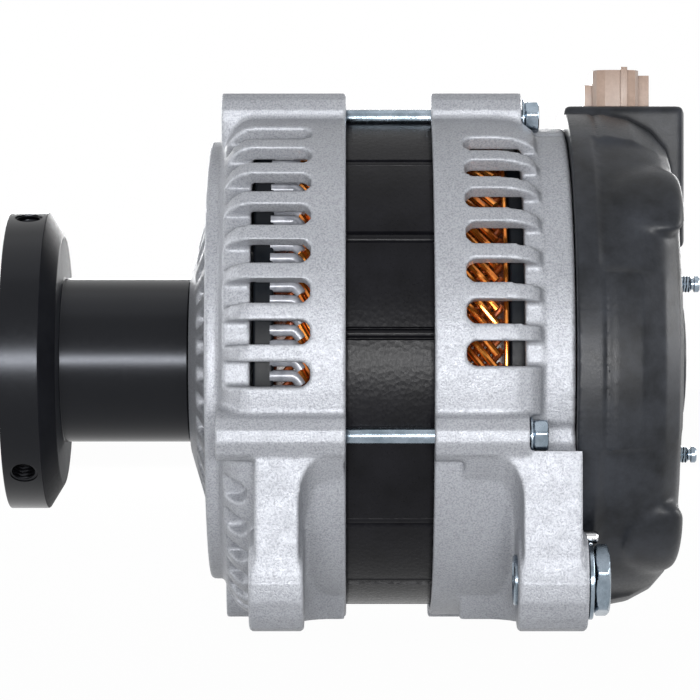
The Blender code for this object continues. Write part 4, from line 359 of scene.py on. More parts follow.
def crinkle_finish():
    """Thick black paint over the laminations, wrinkled and a little shiny."""
    dark, light = (0.003, 0.003, 0.004), (0.007, 0.007, 0.009)
    made, tree, shader = new_material("crinkled_black_paint")
    cells = object_cells(tree, 750.0)
    large = object_noise(tree, 90.0, 4.0)
    fine = object_noise(tree, 1400.0, 2.0)
    sheets = tree.nodes.new("ShaderNodeTexWave")
    sheets.bands_direction = "X"
    sheets.inputs["Scale"].default_value = 300.0
    sheets.inputs["Distortion"].default_value = 0.6
    place = tree.nodes.new("ShaderNodeTexCoord").outputs["Object"]
    tree.links.new(place, sheets.inputs["Vector"])
    tone = colour_ramp(tree, large, ((0.3, dark), (0.7, light)))
    tree.links.new(tone, shader.inputs["Base Color"])
    tree.links.new(map_range(tree, fine, 0.26, 0.36), shader.inputs["Roughness"])
    shader.inputs["Metallic"].default_value = 0.0
    shader.inputs["Specular IOR Level"].default_value = 0.12
    bumps = [(sheets.outputs["Fac"], 0.1, 0.0001), (cells, 0.16, 0.0003), (fine, 0.1, 0.0001)]
    add_bump(tree, shader, bumps)
    return made


CAST = cast_finish()
CRINKLE = crinkle_finish()
HUB_BLACK = plain_finish(
    "black_oxide_gloss",
    dark=(0.001, 0.001, 0.0015),
    light=(0.002, 0.002, 0.0025),
    metallic=0.0,
    roughness=(0.22, 0.27),
    grain=900.0,
    bump=(0.02, 0.0001),
    specular=0.26,
    edge_tint=(0.86, 0.9, 1.0),
)
# A matte grey copy of the hub's black for its flat back face: painted reflection, standing in for
# the grey that this face reflects.
HUB_FACE_PAINTED_REFLECTION = plain_finish(
    "black_face_painted_reflection",
    dark=(0.035, 0.037, 0.043),
    light=(0.05, 0.053, 0.06),
    metallic=0.0,
    roughness=(0.5, 0.6),
    grain=900.0,
    bump=(0.04, 0.0001),
    specular=0.02,
)
# A dull near-black copy for the taper and fillets behind the rim: painted shade, in place of the
# white that the gloss would reflect there.
HUB_TAPER_PAINTED_SHADE = plain_finish(
    "black_taper_painted_shade",
    dark=(0.009, 0.0095, 0.012),
    light=(0.014, 0.015, 0.018),
    metallic=0.0,
    roughness=(0.4, 0.5),
    grain=900.0,
    bump=(0.04, 0.0001),
    specular=0.03,
)
COVER_BLACK = plain_finish(
    "grained_black_plastic",
    dark=(0.005, 0.006, 0.008),
    light=(0.028, 0.031, 0.038),
    metallic=0.0,
    roughness=(0.34, 0.48),
    grain=1500.0,
    bump=(0.22, 0.0001),
    specular=0.24,
)
MOULDED_BLACK = plain_finish(
    "moulded_black_plastic",
    dark=(0.02, 0.02, 0.022),
    light=(0.035, 0.035, 0.038),
    metallic=0.0,
    roughness=(0.4, 0.5),
    grain=800.0,
    bump=(0.1, 0.0001),
)
ZINC = plain_finish(
    "bluish_zinc",
    dark=(0.21, 0.262, 0.31),
    light=(0.33, 0.39, 0.455),
    metallic=1.0,
    roughness=(0.18, 0.3),
    grain=700.0,
    bump=(0.08, 0.0001),
    blotch=160.0,
)
STEEL = plain_finish(
    "turned_steel",
    dark=(0.42, 0.42, 0.43),
    light=(0.55, 0.55, 0.56),
    metallic=1.0,
    roughness=(0.25, 0.38),
    grain=500.0,
    bump=(0.1, 0.0001),
    stretch=(8.0, 1.0, 1.0),
)
DARK_STEEL = plain_finish(
    "dark_oxide_steel",
    dark=(0.03, 0.03, 0.033),
    light=(0.06, 0.06, 0.065),
    metallic=0.8,
    roughness=(0.3, 0.42),
    grain=800.0,
    bump=(0.1, 0.0001),
)
POLE_STEEL = plain_finish(
    "forged_pole_steel",
    dark=(0.07, 0.068, 0.066),
    light=(0.13, 0.12, 0.115),
    metallic=0.7,
    roughness=(0.4, 0.6),
    grain=500.0,
    bump=(0.2, 0.0002),
)
COPPER = plain_finish(
    "enamelled_copper",
    dark=(0.5, 0.11, 0.012),
    light=(0.86, 0.32, 0.05),
    metallic=0.9,
    roughness=(0.12, 0.22),
    grain=800.0,
    bump=(0.06, 0.0001),
    coat=0.4,
    blotch=220.0,
)
# Copper darkened with painted shade, for the under layers of strands that lie beneath the top
# ones.
COPPER_PAINTED_SHADE = plain_finish(
    "copper_painted_shade",
    dark=(0.12, 0.02, 0.004),
    light=(0.34, 0.08, 0.014),
    metallic=0.6,
    roughness=(0.2, 0.34),
    grain=800.0,
    bump=(0.1, 0.0001),
    coat=0.3,
    blotch=300.0,
)
GREY_ENAMEL = plain_finish(
    "grey_wire_enamel",
    dark=(0.2, 0.21, 0.24),
    light=(0.36, 0.37, 0.41),
    metallic=0.2,
    roughness=(0.28, 0.4),
    grain=900.0,
    bump=(0.1, 0.0001),
    coat=0.25,
    blotch=260.0,
)
# Varnish's red-brown darkened with painted shade, for the deep layers of the winding seen between
# the strands.
VARNISH_AND_SHADE = plain_finish(
    "varnish_and_painted_shade",
    dark=(0.012, 0.004, 0.002),
    light=(0.07, 0.014, 0.004),
    metallic=0.0,
    roughness=(0.2, 0.4),
    grain=500.0,
    bump=(0.3, 0.0003),
    blotch=200.0,
)
VARNISH_BLACK = plain_finish(
    "black_insulation",
    dark=(0.003, 0.004, 0.006),
    light=(0.006, 0.008, 0.011),
    metallic=0.0,
    roughness=(0.34, 0.46),
    grain=700.0,
    bump=(0.1, 0.0001),
    specular=0.14,
)
BEIGE = plain_finish(
    "pale_connector_plastic",
    dark=(0.31, 0.222, 0.175),
    light=(0.365, 0.265, 0.212),
    metallic=0.0,
    roughness=(0.38, 0.48),
    grain=700.0,
    bump=(0.08, 0.0001),
)
BRASS = plain_finish(
    "tinned_brass",
    dark=(0.55, 0.5, 0.38),
    light=(0.72, 0.67, 0.52),
    metallic=1.0,
    roughness=(0.24, 0.34),
    grain=800.0,
    bump=(0.06, 0.0001),
)
BRIGHT_STEEL = plain_finish(
    "ground_bearing_steel",
    dark=(0.55, 0.55, 0.56),
    light=(0.66, 0.66, 0.67),
    metallic=1.0,
    roughness=(0.14, 0.22),
    grain=900.0,
    bump=(0.04, 0.0001),
)
CARBON = plain_finish(
    "brush_carbon",
    dark=(0.03, 0.03, 0.03),
    light=(0.06, 0.058, 0.055),
    metallic=0.2,
    roughness=(0.5, 0.7),
    grain=1200.0,
    bump=(0.2, 0.0001),
)


# Mesh helpers

def around(radius, angle):
    """The (y, z) place at a radius and an angle round the shaft."""
    turn = math.radians(angle)
    return -radius * math.cos(turn), radius * math.sin(turn)


def put_in_scene(name, bm, material, sharp=SHARP):
    """Make a piece of a bmesh, with smooth faces and sharp edges past an angle."""
    bmesh.ops.remove_doubles(bm, verts=bm.verts, dist=1e-7)
    bmesh.ops.recalc_face_normals(bm, faces=bm.faces)
    mesh = bpy.data.meshes.new(name)
    bm.to_mesh(mesh)
    bm.free()
    mesh.materials.append(material)
    mesh.shade_smooth()
    mesh.set_sharp_from_angle(angle=math.radians(sharp))
    piece = bpy.data.objects.new(name, mesh)
    bpy.context.scene.collection.objects.link(piece)
    return piece


def settle(piece, material=None, sharp=SHARP):
    """Apply every modifier, leaving one plain shaded mesh."""
    depsgraph = bpy.context.evaluated_depsgraph_get()
    mesh = bpy.data.meshes.new_from_object(piece.evaluated_get(depsgraph))
    piece.modifiers.clear()
    piece.data = mesh
    if material is not None:
        mesh.materials.clear()
        mesh.materials.append(material)
    mesh.shade_smooth()
    mesh.set_sharp_from_angle(angle=math.radians(sharp))
    return piece


def hand_over(piece, body, slot, *nodes):
    """Put a piece under its body's empty and hide the CAD nodes that it stands for; slot is not
    used.
    """
    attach(piece, body)
    if nodes:
        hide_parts(*nodes)
    return piece


def cut_with(piece, cutter, material):
    """Cut a piece with another, which is used up."""
    cut = piece.modifiers.new("cut", "BOOLEAN")
    cut.operation = "DIFFERENCE"
    cut.solver = "EXACT"
    cut.object = cutter
    settle(piece, material, SHARP_FASTENER)
    bpy.data.objects.remove(cutter, do_unlink=True)
    return piece


def rounded_profile(points, radius, steps=3):
    """Swap each corner of a closed profile for a short arc."""
    most_of_side = 0.45          # so that the arcs at a side's two ends never meet
    made = []
    count = len(points)
    for i, point in enumerate(points):
        before = Vector(points[i - 1])
        here = Vector(point)
        after = Vector(points[(i + 1) % count])
        shorter = min((before - here).length * most_of_side, (after - here).length * most_of_side)
        reach = min(radius, shorter)
        if reach < 1e-7:
            made.append((here.x, here.y))
            continue
        start = here + (before - here).normalized() * reach
        end = here + (after - here).normalized() * reach
        for step in range(steps + 1):
            share = step / steps
            bend = start.lerp(here, share).lerp(here.lerp(end, share), share)
            made.append((bend.x, bend.y))
    return made


def in_mm(start, pairs):
    """Stations from (mm past the start, radius in mm) pairs."""
    return [(start + along * MM, radius * MM) for along, radius in pairs]


def ring_of_points(bm, x, radius, steps, centre):
    """Points round an axis along X, at a radius that may be a function of the angle."""
    ring = []
    for step in range(steps):
        angle = 360.0 * step / steps
        y, z = around(radius(angle) if callable(radius) else radius, angle)
        ring.append(bm.verts.new((x, centre[0] + y, centre[1] + z)))
    return ring


def join_rings(bm, rings, closed):
    """Join equal rings in a row: back to the first if closed, else with flat ends."""
    following = rings[1:] + rings[:1] if closed else rings[1:]
    for first, second in zip(rings, following):
        for i in range(len(first)):
            j = (i + 1) % len(first)
            bm.faces.new((first[i], first[j], second[j], second[i]))
    if not closed:
        bm.faces.new(rings[0])
        bm.faces.new(rings[-1])


def lathe(bm, profile, steps, centre=(0.0, 0.0)):
    """Turn a closed profile of (x, radius) points round an axis along X."""
    rings = [ring_of_points(bm, x, radius, steps, centre) for x, radius in profile]
    join_rings(bm, rings, True)


def shaped_rod(bm, stations, steps, centre=(0.0, 0.0)):
    """A solid rod along X through (x, radius) stations."""
    rings = [ring_of_points(bm, x, radius, steps, centre) for x, radius in stations]
    join_rings(bm, rings, False)


def shaped_ring(bm, stations, bore, steps, centre):
    """A rod like shaped_rod's with a bore through it, its edges eased."""
    first = stations[0][0]
    last = stations[-1][0]
    ease = 0.5 * MM
    inside = [(last, bore + ease), (last - ease, bore), (first + ease, bore), (first, bore + ease)]
    lathe(bm, stations + inside, steps, centre)


def hexagon_stations(start, end, flats, turn, chamfer):
    """Stations of a hexagon whose corners are turned off in a cone at both ends."""
    def section(limit):
        def radius(angle):
            off = (angle - turn) % 60.0 - 30.0
            return min(flats / 2.0 / math.cos(math.radians(off)), limit)
        return radius

    corner = flats / math.sqrt(3.0)
    end_circle = flats / 2.0 * 0.94
    stations = []
    rings = 5                    # in each cone
    for step in range(rings):
        share = step / (rings - 1.0)
        limit = end_circle + (corner - end_circle) * share
        stations.append((start + chamfer * share, section(limit)))
    for x, radius in reversed(stations[:rings]):
        stations.append((end - (x - start), radius))
    return stations


def thread_stations(start, end, radius, pitch):
    """Stations of a thread whose end is eased to a cone."""
    stations_per_turn = 6.0
    depth = 0.3 * pitch
    cone_length = 0.45 * MM
    cone_slope = 0.8
    count = round((end - start) / pitch * stations_per_turn)

    def section(x, ease):
        def at(angle):
            phase = (x / pitch - angle / 360.0) % 1.0
            return radius - ease - depth * abs(2.0 * phase - 1.0)
        return at

    stations = []
    for step in range(count + 1):
        x = start + (end - start) * step / count
        ease = max(0.0, cone_length - (end - x)) * cone_slope
        stations.append((x, section(x, ease)))
    return stations


def turned_piece(name, profile, steps, material, centre=(0.0, 0.0)):
    """A piece made by turning a closed profile round an axis along X."""
    bm = bmesh.new()
    lathe(bm, profile, steps, centre)
    return put_in_scene(name, bm, material)


def sweep(bm, points, radius, sides):
    """A tube along a path, its ends closed."""
    path = [Vector(point) for point in points]
    rings = []
    for i, here in enumerate(path):
        before = path[max(i - 1, 0)]
        after = path[min(i + 1, len(path) - 1)]
        along = (after - before).normalized()
        outward = Vector((0.0, here.y, here.z)).normalized()
        side = along.cross(outward).normalized()
        outward = side.cross(along).normalized()
        ring = []
        for step in range(sides):
            turn = 2.0 * math.pi * (step + 0.5) / sides
            offset = side * math.cos(turn) + outward * math.sin(turn)
            ring.append(bm.verts.new(here + offset * radius))
        rings.append(ring)
    join_rings(bm, rings, False)


def ring_tree():
    """Node tree that sets copies of a piece round the shaft and realizes them."""
    tree = bpy.data.node_groups.new("copies_round_shaft", "GeometryNodeTree")
    face = tree.interface
    face.new_socket("Geometry", in_out="INPUT", socket_type="NodeSocketGeometry")
    face.new_socket("Copies", in_out="INPUT", socket_type="NodeSocketInt")
    face.new_socket("First Angle", in_out="INPUT", socket_type="NodeSocketFloat")
    face.new_socket("Finish", in_out="INPUT", socket_type="NodeSocketMaterial")
    face.new_socket("Geometry", in_out="OUTPUT", socket_type="NodeSocketGeometry")
    nodes = tree.nodes
    links = tree.links
    given = nodes.new("NodeGroupInput")
    result = nodes.new("NodeGroupOutput")
    line = nodes.new("GeometryNodeMeshLine")
    line.inputs["Offset"].default_value = (0.0, 0.0, 0.0)
    links.new(given.outputs["Copies"], line.inputs["Count"])
    index = nodes.new("GeometryNodeInputIndex")
    share = math_node(tree, "DIVIDE", index.outputs["Index"], given.outputs["Copies"])
    first_angle = given.outputs["First Angle"]
    turn = math_node(tree, "MULTIPLY_ADD", share, 2.0 * math.pi, first_angle)
    vector = nodes.new("ShaderNodeCombineXYZ")
    links.new(turn, vector.inputs["X"])
    copies = nodes.new("GeometryNodeInstanceOnPoints")
    links.new(line.outputs["Mesh"], copies.inputs["Points"])
    links.new(given.outputs["Geometry"], copies.inputs["Instance"])
    links.new(vector.outputs["Vector"], copies.inputs["Rotation"])
    real = nodes.new("GeometryNodeRealizeInstances")
    links.new(copies.outputs["Instances"], real.inputs["Geometry"])
    finish = nodes.new("GeometryNodeSetMaterial")
    links.new(real.outputs["Geometry"], finish.inputs["Geometry"])
    links.new(given.outputs["Finish"], finish.inputs["Material"])
    links.new(finish.outputs["Geometry"], result.inputs["Geometry"])
    return tree


RING_TREE = ring_tree()


def set_inputs(modifier, values):
    """Set a node modifier's inputs through their identifiers."""
    for item in modifier.node_group.interface.items_tree:
        if item.in_out == "INPUT" and item.name in values:
            modifier[item.identifier] = values[item.name]


def copies_round_shaft(name, bm, count, first_angle, material):
    """A ring of equal copies of one shape, as one plain mesh."""
    piece = put_in_scene(name, bm, material)
    modifier = piece.modifiers.new("ring", "NODES")
    modifier.node_group = RING_TREE
    angle = math.radians(first_angle)
    set_inputs(modifier, {"Copies": count, "First Angle": angle, "Finish": material})
    return settle(piece)


# Dressed copies of the CAD's cast and moulded nodes

def merged_copy(node, name):
    """A copy of a CAD node whose loose triangles are joined."""
    bm = bmesh.new()
    bm.from_mesh(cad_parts[node].data)
    bmesh.ops.remove_doubles(bm, verts=bm.verts, dist=2e-6)
    mesh = bpy.data.meshes.new(name)
    bm.to_mesh(mesh)
    bm.free()
    piece = bpy.data.objects.new(name, mesh)
    bpy.context.scene.collection.objects.link(piece)
    return piece


def eased_copy(node, name, material, width):
    """A copy of a plain CAD node with its edges rounded a little."""
    piece = merged_copy(node, name)
    flat = piece.modifiers.new("flat", "DECIMATE")
    flat.decimate_type = "DISSOLVE"
    flat.angle_limit = math.radians(1.0)
    ease = piece.modifiers.new("ease", "BEVEL")
    ease.width = width
    ease.segments = 3
    ease.limit_method = "ANGLE"
    ease.angle_limit = math.radians(20.0)
    return settle(piece, material, SHARP_PLUG)


def round_off_facets(mesh, facets, keep):
    """Push points out from the flats of a faceted turning onto its true circle."""
    step = 2.0 * math.pi / facets
    edge = math.cos(step / 2.0)
    for vert in mesh.vertices:
        y, z = vert.co.y, vert.co.z
        if keep is not None and keep(vert.co):
            continue
        from_middle = math.atan2(y, -z) % step - step / 2.0
        grow = math.cos(from_middle) / edge
        vert.co.y = y * grow
        vert.co.z = z * grow


def moulded_copy(node, name, material, facets, keep=None, ease=None):
    """A CAD node with its facets rounded off and its edges softened.

    keep tells the points that stay where they are, and ease shapes the piece
    further before it is softened.
    """
    piece = merged_copy(node, name)
    remesh = piece.modifiers.new("even_mesh", "REMESH")
    remesh.mode = "VOXEL"
    remesh.voxel_size = SKIN_VOXEL
    settle(piece)
    round_off_facets(piece.data, facets, keep)
    if ease is not None:
        ease(piece)
    soften = piece.modifiers.new("soften", "SMOOTH")
    soften.factor = 0.5
    soften.iterations = SKIN_SMOOTHING
    triangles = sum(len(polygon.vertices) - 2 for polygon in piece.data.polygons)
    if triangles > SKIN_TRIANGLES:
        thin = piece.modifiers.new("thin", "DECIMATE")
        thin.ratio = SKIN_TRIANGLES / triangles
    return settle(piece, material, SHARP_SKIN)


def make_castings():
    """The two housings, each as one cast skin."""
    front = moulded_copy("front_housing", "front_casting", CAST, CASTING_FACETS)
    hand_over(front, "housing", "casting", "front_housing")
    rear = moulded_copy("rear_housing", "rear_casting", CAST, CASTING_FACETS)
    hand_over(rear, "housing", "casting", "rear_housing")


def on_connector_box(point):
    """True for the cover's connector box, whose flat walls stay flat."""
    near, far = CONNECTOR_BOX_SIDES
    return point.z > CONNECTOR_BOX_BOTTOM and near < point.y < far


def shoulder_radius(x):
    """Radius of the bulges' outside, which turns in squarely at the back."""
    length = COVER_BACK + BULGE_INSET - COVER_BAND_END
    share = min(1.0, max(0.0, (x - COVER_BAND_END) / length))
    drop = COVER_RADIUS - COVER_BACK_RADIUS - BULGE_INSET
    return COVER_BACK_RADIUS + drop * (1.0 - share ** SHOULDER_POWER) ** (1.0 / SHOULDER_POWER)


def ease_bulges(piece):
    """Draw the near bulges in to the dome's own round, and blend them into it."""
    group = piece.vertex_groups.new(name="bulges")
    bulge_start = COVER_BAND_END - 2.0 * MM
    for vert in piece.data.vertices:
        x, y, z = vert.co
        angle = math.degrees(math.atan2(z, -y))
        radius = math.hypot(y, z)
        inside = any(first < angle < last for first, last in BULGE_ANGLES)
        if not inside or x < bulge_start or radius < BULGE_INNER_RADIUS:
            continue
        start = shoulder_radius(x) - BULGE_ROOM
        if radius > start:
            eased = BULGE_ROOM * (1.0 - math.exp((start - radius) / BULGE_ROOM))
            grow = (start + eased) / radius
            vert.co.y = y * grow
            vert.co.z = z * grow
        group.add([vert.index], 1.0, "REPLACE")
    blend = piece.modifiers.new("blend", "SMOOTH")
    blend.factor = 0.5
    blend.iterations = BULGE_BLENDING
    blend.vertex_group = "bulges"


def make_cover():
    """The moulded rear cover."""
    cover = moulded_copy(
        "rear_cover", "cover_moulding", COVER_BLACK, COVER_FACETS, on_connector_box, ease_bulges,
    )
    hand_over(cover, "housing", "cover", "rear_cover")


# Hub

def paint_faces(piece, finish, faces):
    """Give some faces of a piece another material."""
    piece.data.materials.append(finish)
    for face in faces:
        face.material_index = len(piece.data.materials) - 1


def screw_hole(angle):
    """A threaded hole from the socket out through the rim, as a mesh to cut with."""
    inner = SOCKET_RADIUS - 3.0 * MM
    thread = thread_stations(inner, HUB_RADIUS - 0.6 * MM, *SCREW_THREAD)
    thread += in_mm(HUB_RADIUS, ((-0.5, 3.8), (2.0, 4.4)))
    hole = bmesh.new()
    shaped_rod(hole, thread, HOLE_STEPS)
    place = Matrix.Translation((HUB_LOW.x + SCREW_PLACE, 0.0, 0.0))
    place = place @ Matrix.Rotation(math.radians(-angle), 4, "X")
    hole.transform(place @ Matrix.Rotation(math.radians(-90.0), 4, "Z"))
    drilled = bpy.data.meshes.new("screw_hole")
    hole.to_mesh(drilled)
    hole.free()
    return drilled


def make_hub():
    """The flanged hub with its neck, socket and screw holes."""
    front = HUB_LOW.x
    back = HUB_HIGH.x
    rim_back = front + RIM_LENGTH
    taper_back = rim_back + TAPER_LENGTH
    profile = [
        (front, SOCKET_RADIUS),
        (front, HUB_RADIUS),
        (rim_back, HUB_RADIUS),
        (taper_back, HUB_RADIUS - TAPER_DEPTH),
        (taper_back, NECK_RADIUS),
        (back - NECK_CHAMFER, NECK_RADIUS),
        (back, NECK_RADIUS - NECK_CHAMFER),
        (back, BORE_RADIUS),
        (SOCKET_FLOOR_X, BORE_RADIUS),
        (SOCKET_FLOOR_X, SOCKET_STEP_RADIUS),
        (SOCKET_STEP_X, SOCKET_STEP_RADIUS),
        (SOCKET_STEP_X, SOCKET_RADIUS),
    ]
    hub = turned_piece("hub_body", rounded_profile(profile, HUB_EDGE, 4), HUB_STEPS, HUB_BLACK)
    bm = bmesh.new()
    for angle in SCREW_ANGLES:
        bm.from_mesh(screw_hole(angle))
    cut_with(hub, put_in_scene("screw_holes", bm, HUB_BLACK), HUB_BLACK)
    # Faces behind the rim that point back get the painted shade copy, and the flat back face gets
    # the painted reflection copy.
    leaning, square = 0.2, 0.98  # how far a face's normal points back
    behind = [face for face in hub.data.polygons if rim_back < face.center.x < taper_back + MM]
    paint_faces(hub, HUB_TAPER_PAINTED_SHADE, [face for face in behind if face.normal.x > leaning])
    paint_faces(hub, HUB_FACE_PAINTED_REFLECTION, [face for face in behind if face.normal.x > square])
    hand_over(hub, "rotor", "hub", "drive_hub")


# Stator core

def stator_angles():
    """Angles round the core, with every seam's and slot's edges among them."""
    angles = [step * STATOR_STEP_ANGLE for step in range(round(360.0 / STATOR_STEP_ANGLE))]
    for seam in range(SEAM_COUNT):
        middle = (FIRST_SEAM_ANGLE + seam * 360.0 / SEAM_COUNT) % 360.0
        for offset in (-1.0, -0.9, -0.5, -0.25, 0.0, 0.25, 0.5, 0.9, 1.0):
            angles.append((middle + offset * SEAM_HALF_ANGLE) % 360.0)
    for slot in range(SLOT_COUNT):
        middle = slot * 360.0 / SLOT_COUNT
        half = 360.0 / SLOT_COUNT * SLOT_SHARE / 2.0
        for side in (-1.0, 1.0):
            angles.append((middle + side * half) % 360.0)
            angles.append((middle + side * (half + SLOT_WALL_ANGLE)) % 360.0)
    least_step = 0.03            # so that no two angles fall together
    kept = []
    for angle in sorted(angles):
        if not kept or angle - kept[-1] > least_step:
            kept.append(angle)
    return kept


def outer_radius(angle):
    """The core's outside, sunk at each seam round a weld bead."""
    pitch = 360.0 / SEAM_COUNT
    off = abs((angle - FIRST_SEAM_ANGLE + pitch / 2.0) % pitch - pitch / 2.0) / SEAM_HALF_ANGLE
    if off >= 1.0:
        return STATOR_RADIUS
    if off > BEAD_SHARE:
        return STATOR_RADIUS - SEAM_DEPTH
    bead = math.sqrt(max(0.0, 1.0 - (off / BEAD_SHARE) ** 2))
    return STATOR_RADIUS - SEAM_DEPTH * (1.0 - BEAD_HEIGHT * bead)


def inner_radius(angle):
    """The core's inside: the floor of a slot or the bore between two."""
    pitch = 360.0 / SLOT_COUNT
    off = abs((angle + pitch / 2.0) % pitch - pitch / 2.0)
    slack = 0.02
    return SLOT_FLOOR if off <= pitch * SLOT_SHARE / 2.0 + slack else STATOR_BORE


def make_stator():
    """The ring of laminations with its welded seams and its slots."""
    bm = bmesh.new()
    edge = STATOR_EDGE
    stations = [
        (STATOR_LOW.x, inner_radius, 0.0),
        (STATOR_LOW.x, outer_radius, -edge),
        (STATOR_LOW.x + edge * 0.3, outer_radius, -edge * 0.3),
        (STATOR_LOW.x + edge, outer_radius, 0.0),
        (STATOR_HIGH.x - edge, outer_radius, 0.0),
        (STATOR_HIGH.x - edge * 0.3, outer_radius, -edge * 0.3),
        (STATOR_HIGH.x, outer_radius, -edge),
        (STATOR_HIGH.x, inner_radius, 0.0),
    ]
    angles = stator_angles()
    rings = []
    for x, radius_at, inset in stations:
        ring = []
        for angle in angles:
            y, z = around(radius_at(angle) + inset, angle)
            ring.append(bm.verts.new((x, y, z)))
        rings.append(ring)
    join_rings(bm, rings, True)
    core = put_in_scene("stator_laminations", bm, CRINKLE, SHARP_STATOR)
    hand_over(core, "housing", "stator", "stator_core")


# Winding

def strand(bm, x_start, x_end, first, lean, radius_at):
    """One wire that leans round the shaft by lean degrees for each mm along it."""
    stretches = 6
    points = []
    for step in range(stretches + 1):
        x = x_start + (x_end - x_start) * step / stretches
        points.append((x, *around(radius_at, first + lean * (x - x_start) / MM)))
    sweep(bm, points, WIRE_RADIUS, WIRE_STEPS)


def hooked_end(bm, x_start, x_end):
    """A straight enamelled end that bends down into the lean of its strand.

    It gives back the angle at which the strand goes on.
    """
    bend = x_end - HOOK_LENGTH * MM
    stretches = 8
    points = []
    for x in (x_start, x_start + 2.0 * MM, bend - MM):
        points.append((x, *around(CROWN_RADIUS, 0.0)))
    for step in range(stretches + 1):
        x = bend + (x_end - bend) * step / stretches
        past = (x - bend) / MM
        points.append((x, *around(CROWN_RADIUS, -FRONT_LEAN * past * past / (2.0 * HOOK_LENGTH))))
    sweep(bm, points, ENAMEL_RADIUS, ENAMEL_STEPS)
    return -FRONT_LEAN * HOOK_LENGTH * HOOK_LENGTH / (2.0 * HOOK_LENGTH)


def wire_ring(name, bm, first_angle, finish):
    """The winding's own ring of copies of one wire."""
    ring = copies_round_shaft(name, bm, STRANDS, first_angle, finish)
    hand_over(ring, "housing", "winding")


def winding_collar(name, start, end, radius):
    """A dark insulating ring beside the winding's ends."""
    profile = [(start, CROWN_INNER), (start, radius), (end, radius), (end, CROWN_INNER)]
    ring = turned_piece(name, rounded_profile(profile, COLLAR_EDGE), COLLAR_STEPS, VARNISH_BLACK)
    hand_over(ring, "housing", "winding")


def rear_band_profile(middle):
    """The round section of the wire that bands the rear strands."""
    sides = 12
    profile = []
    for step in range(sides):
        turn = 2.0 * math.pi * step / sides
        x = middle + BAND_WIRE_RADIUS * math.cos(turn)
        profile.append((x, BAND_RADIUS + BAND_WIRE_RADIUS * math.sin(turn)))
    return profile


def make_winding():
    """The strands that show through the vents, with their under layers and the dark core beneath
    them darkened by painted shade.
    """
    start = WINDING_LOW.x
    end = WINDING_HIGH.x
    core_front = STATOR_LOW.x + WIRE_SUNK
    core_back = STATOR_HIGH.x - WIRE_SUNK
    enamel_start = start - 0.4 * MM
    enamel_end = start + ENAMEL_LENGTH
    strands_start = enamel_end - 0.5 * MM
    strands_end = end - 3.4 * MM
    under_start = start + 3.0 * MM
    under_end = end - 2.0 * MM
    band_middle = end - 1.0 * MM
    bm = bmesh.new()
    foot = hooked_end(bm, enamel_start, enamel_end)
    wire_ring("winding_enamelled_ends", bm, 0.0, GREY_ENAMEL)
    bm = bmesh.new()
    strand(bm, strands_start, core_front, foot, -FRONT_LEAN, CROWN_RADIUS)
    wire_ring("winding_front_strands", bm, 0.0, COPPER)
    bm = bmesh.new()
    strand(bm, core_back, strands_end, 0.0, -REAR_LEAN, CROWN_RADIUS)
    wire_ring("winding_rear_strands", bm, SHIFT_ANGLE, COPPER)
    # The under layers take the copper darkened with painted shade.
    bm = bmesh.new()
    strand(bm, core_back, under_end, SHIFT_ANGLE, REAR_LEAN, REAR_UNDER_RADIUS)
    wire_ring("winding_rear_under_layer", bm, SHIFT_ANGLE, COPPER_PAINTED_SHADE)
    bm = bmesh.new()
    strand(bm, under_start, core_front, SHIFT_ANGLE, FRONT_UNDER_LEAN, FRONT_UNDER_RADIUS)
    wire_ring("winding_front_under_layer", bm, SHIFT_ANGLE, COPPER_PAINTED_SHADE)
    profile = rear_band_profile(band_middle)
    band = turned_piece("winding_rear_band", profile, BAND_STEPS, COPPER)
    hand_over(band, "housing", "winding")
    # The winding's deeper layers as one ring, in varnish's red-brown darkened with painted shade.
    inset = 0.6 * MM
    profile = [
        (start + inset, CROWN_INNER),
        (start + inset, INNER_LAYERS_RADIUS),
        (end - inset, INNER_LAYERS_RADIUS),
        (end - inset, CROWN_INNER),
    ]
    profile = rounded_profile(profile, 1.0 * MM)
    inside = turned_piece("winding_inner_layers", profile, COLLAR_STEPS, VARNISH_AND_SHADE)
    hand_over(inside, "housing", "winding", "stator_winding")
    front_radius = CROWN_RADIUS + 1.0 * MM
    winding_collar("winding_front_collar", start - 5.0 * MM, start + 0.5 * MM, front_radius)
    rear_radius = CROWN_RADIUS - 1.2 * MM
    winding_collar("winding_rear_collar", end + 0.1 * MM, end + 4.6 * MM, rear_radius)


# Bolts, studs, bush and terminal

def rod_piece(name, groups, material, slot, node):
    """A piece of the housing made of closed rods, each its stations and its centre."""
    bm = bmesh.new()
    for stations, centre in groups:
        shaped_rod(bm, stations, ROD_STEPS, centre)
    piece = put_in_scene(name, bm, material, SHARP_FASTENER)
    return hand_over(piece, "housing", slot, node)


def box_centre(node):
    """The (y, z) middle of a CAD node."""
    low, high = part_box(node)
    return (low.y + high.y) / 2.0, (low.z + high.z) / 2.0


def make_through_bolts():
    """The four long bolts with flanged hexagon heads."""
    for number in (1, 2, 3, 4):
        node = "through_bolt_" + str(number)
        low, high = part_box(node)
        centre = box_centre(node)
        seat = high.x - BOLT_HEAD_LENGTH
        thread_end = low.x + BOLT_THREAD_LENGTH
        rod = thread_stations(low.x, thread_end, *BOLT_THREAD)[::-1]
        rod = [(2.0 * low.x + BOLT_THREAD_LENGTH - x, radius) for x, radius in rod]
        rod += [(low.x + 12.6 * MM, BOLT_RADIUS), (seat + 0.5 * MM, BOLT_RADIUS)]
        flange = in_mm(seat, ((0.0, 5.0), (0.15, 5.18), (0.5, 5.18), (1.1, 4.3), (1.3, 3.6)))
        head = hexagon_stations(seat + 0.9 * MM, high.x, SMALL_FLATS, 10.0, 0.5 * MM)
        groups = [(rod, centre), (flange, centre), (head, centre)]
        rod_piece("bolt_" + str(number), groups, ZINC, "zinc", node)


